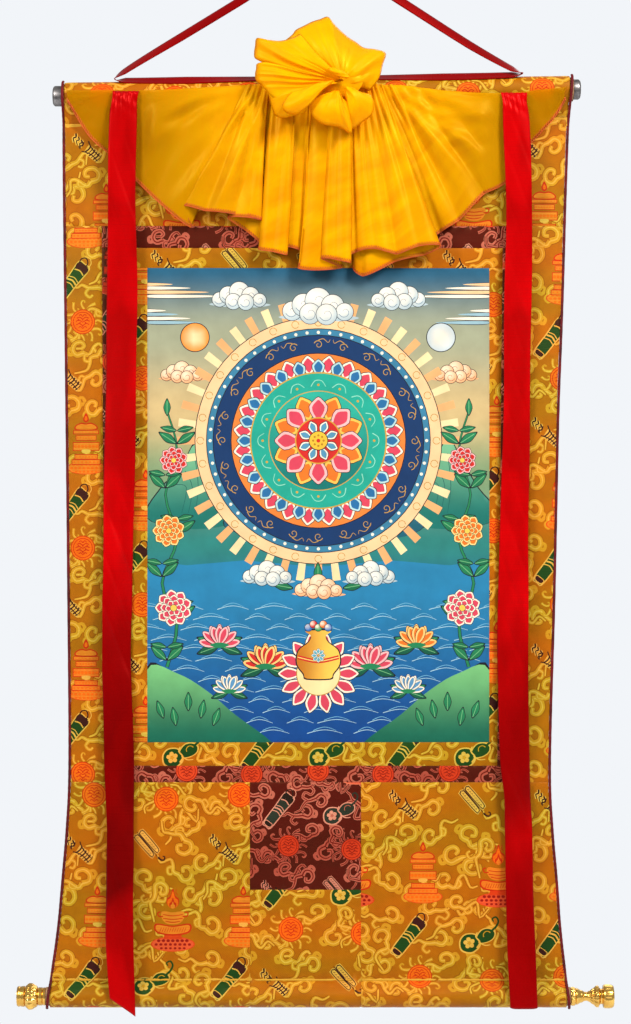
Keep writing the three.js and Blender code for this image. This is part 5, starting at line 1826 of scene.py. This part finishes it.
def puff_surface(edge, root, edge_y, root_y, folds, seed):
    """One crumpled flap, as a function of u along its edge, v outwards, and side, 1 front or -1 back."""
    line = [from_photo(px, py, edge_y) for px, py in edge]
    root_x, root_z = from_photo(*root, root_y)
    rng = random.Random(seed * 7 + 3)
    ridges = [((k + rng.uniform(0.2, 0.8)) / folds, rng.uniform(1.2, 3.8), rng.uniform(0.4, 1.6) / folds,
               rng.uniform(0.6, 1.9) / folds, rng.uniform(-0.1, 0.1), rng.uniform(0.55, 1.15))
              for k in range(folds)]

    def tents(u, v):
        """The height of the ridges that run out from the root."""
        rise = 0.0
        for where, height, left, right, lean, reach in ridges:
            gap = u - where - lean * v * v
            tent = max(0.0, 1 + gap / left if gap < 0 else 1 - gap / right)
            rise += (height * tent ** 1.4 * smoothstep(v, 0.02, 0.3)
                     * (1 - 0.8 * smoothstep(v, 0.5, reach + 0.3)))
        return rise

    def at(u, v, side):
        x, z = on_line(line, u)
        away = Vector((x - root_x, 0, z - root_z))
        across = Vector((away.z, 0, -away.x)).normalized()
        point = Vector((root_x, root_y, root_z)) + away * lerp(0.05, 1.0, v)
        belly = math.sin(math.pi * v)
        point.y = lerp(root_y, edge_y, v) - 3.0 * belly - 2.4 * math.sin(u * 5 + seed)
        body = max(1 - v ** 7, 0.0) ** 0.5 * v ** 0.4 * max(1 - abs(2 * u - 1) ** 8, 0.0) ** 0.5
        lift = 4.2 * body + tents(u, v) * min(1.0, 3 * body) if side > 0 else -2.6 * body
        crumple = noise.noise(Vector((x / 15, z / 15, seed * 3.1 + v))) * 2.2 * belly
        point.y -= lift + crumple
        return point + across * (1.2 * math.sin(v * 6 + seed) * belly)
    return at


def knot_roll(u, v, side):
    """The pinched middle: a short pleated roll lying across the knot."""
    angle = math.pi * v
    x = lerp(-13, 13, u)
    radius = 4.2 * max(1 - (2 * u - 1) ** 2, 0) ** 0.5
    radius *= 1 + 0.1 * math.sin(angle * 5 + x / 3) * (side > 0)
    return Vector((25 + x, -60 - side * radius * math.sin(angle) * (1.0 if side > 0 else 0.6),
                   -157.5 - 0.4 * x + radius * math.cos(angle)))


def knot_pad(u, v, side):
    """What is bunched up behind the knot."""
    turn, out, rise = math.tau * u, math.sin(math.pi / 2 * v), math.cos(math.pi / 2 * v)
    return Vector((28 + 26 * out * math.cos(turn), -42 - side * 6 * rise, -164 + 19 * out * math.sin(turn)))


def make_rosette():
    wide, long = 60, 24
    verts, faces, places = [], [], []
    flaps = [puff_surface(*row, seed) for seed, row in enumerate(PUFFS)]
    for surface in (*flaps, knot_pad, knot_roll):
        for side in (1, -1):
            base = len(verts)
            verts += [surface(c / wide, r / long, side) for c in range(wide + 1) for r in range(long + 1)]
            for c in range(wide):
                for r in range(long):
                    corners = ((c, r), (c, r + 1), (c + 1, r + 1), (c + 1, r))[::side]
                    faces.append([base + cc * (long + 1) + rr for cc, rr in corners])
                    places.extend((90 * cc / wide, 80 * rr / long) for cc, rr in corners)
    piece = new_piece("silk_rosette", verts, faces, silk, outwards=False)
    lay_out(piece.data, places)
    shape = bmesh.new()
    shape.from_mesh(piece.data)
    bmesh.ops.remove_doubles(shape, verts=shape.verts, dist=0.00002)
    bmesh.ops.dissolve_degenerate(shape, edges=shape.edges, dist=0.000001)
    bmesh.ops.recalc_face_normals(shape, faces=shape.faces)
    shape.to_mesh(piece.data)
    shape.free()
    return piece


def make_veil():
    fan, grid = make_veil_fan()
    stitches, hem_length = make_hem(grid)
    rosette = make_rosette()
    rest_on_root(fan, "yellow_silk", "veil")
    for piece in (stitches, rosette):
        rest_on_root(piece, "yellow_silk")
    points = np.array(grid)
    a, b, c, d = points[:-1, :-1], points[:-1, 1:], points[1:, :-1], points[1:, 1:]
    doubled = sum(np.linalg.norm(np.cross(*pair), axis=-1).sum() for pair in ((b - a, c - a), (b - d, c - d)))
    flat_area = float(doubled) / 2 * MM * MM
    falls = float(np.linalg.norm(points[-1] - points[0], axis=-1).mean())
    length = max(falls * 1.15 * MM, flat_area / (hem_length * MM) * 1.05)
    hem_length * MM


def make_camera():
    data = bpy.data.cameras.new("camera")
    data.sensor_fit, data.sensor_height, data.lens = "VERTICAL", 24.0, 61.5
    camera = bpy.data.objects.new("camera", data)
    camera.location = (CAMERA_X * MM, -CAMERA_AWAY * MM, CAMERA_Z * MM)
    camera.rotation_euler = (math.radians(90), 0, 0)
    bpy.context.scene.collection.objects.link(camera)
    bpy.context.scene.camera = camera


def make_studio():
    world = bpy.data.worlds.new("studio")
    bpy.context.scene.world = world
    world.use_nodes = True
    tree = world.node_tree
    seen, light = tree.nodes["Background"], tree.nodes.new("ShaderNodeBackground")
    for background, strength in ((seen, 1.0), (light, 0.5)):
        background.inputs["Color"].default_value = tint(242, 245, 249)
        background.inputs["Strength"].default_value = strength
    blend = tree.nodes.new("ShaderNodeMixShader")
    tree.links.new(tree.nodes.new("ShaderNodeLightPath").outputs["Is Camera Ray"], blend.inputs[0])
    tree.links.new(light.outputs[0], blend.inputs[1])
    tree.links.new(seen.outputs[0], blend.inputs[2])
    tree.links.new(blend.outputs[0], tree.nodes["World Output"].inputs["Surface"])
    bpy.context.scene.view_settings.view_transform = "Standard"
    for name, where, size, power in (
            ("key", (1.6, -2.1, 1.2), 0.9, 112), ("fill", (-1.9, -1.9, 0.7), 0.9, 62),
            ("back", (0.6, 2.0, 0.4), 1.6, 16)):
        light = bpy.data.lights.new(name, "AREA")
        light.energy, light.size = power, size
        lamp_object = bpy.data.objects.new(name, light)
        lamp_object.location = where
        aim = Vector((0, 0, -0.6)) - Vector(where)
        lamp_object.rotation_euler = aim.to_track_quat("-Z", "Y").to_euler()
        bpy.context.scene.collection.objects.link(lamp_object)
    bpy.ops.mesh.primitive_plane_add(size=1, location=(0, 0, -1.75))
    floor = bpy.context.object
    floor.name = "floor"
    floor.scale = (6, 3.0, 1)
    bpy.ops.object.transform_apply(location=True, scale=True)
    pale = Finish("pale_floor", Roughness=0.8)
    grain = pale.noise(pale.place(), 3.0, 3.0)
    pale.feed(Base_Color=pale.mix(grain, tint(232, 236, 242), tint(240, 243, 247)))
    floor.data.materials.append(pale.material)


make_camera()
make_studio()
make_panels()
make_sleeve_panels()
make_painting()
make_ribbons()
make_hanging_ribbon()
make_bindings()
make_hardware()
make_veil()
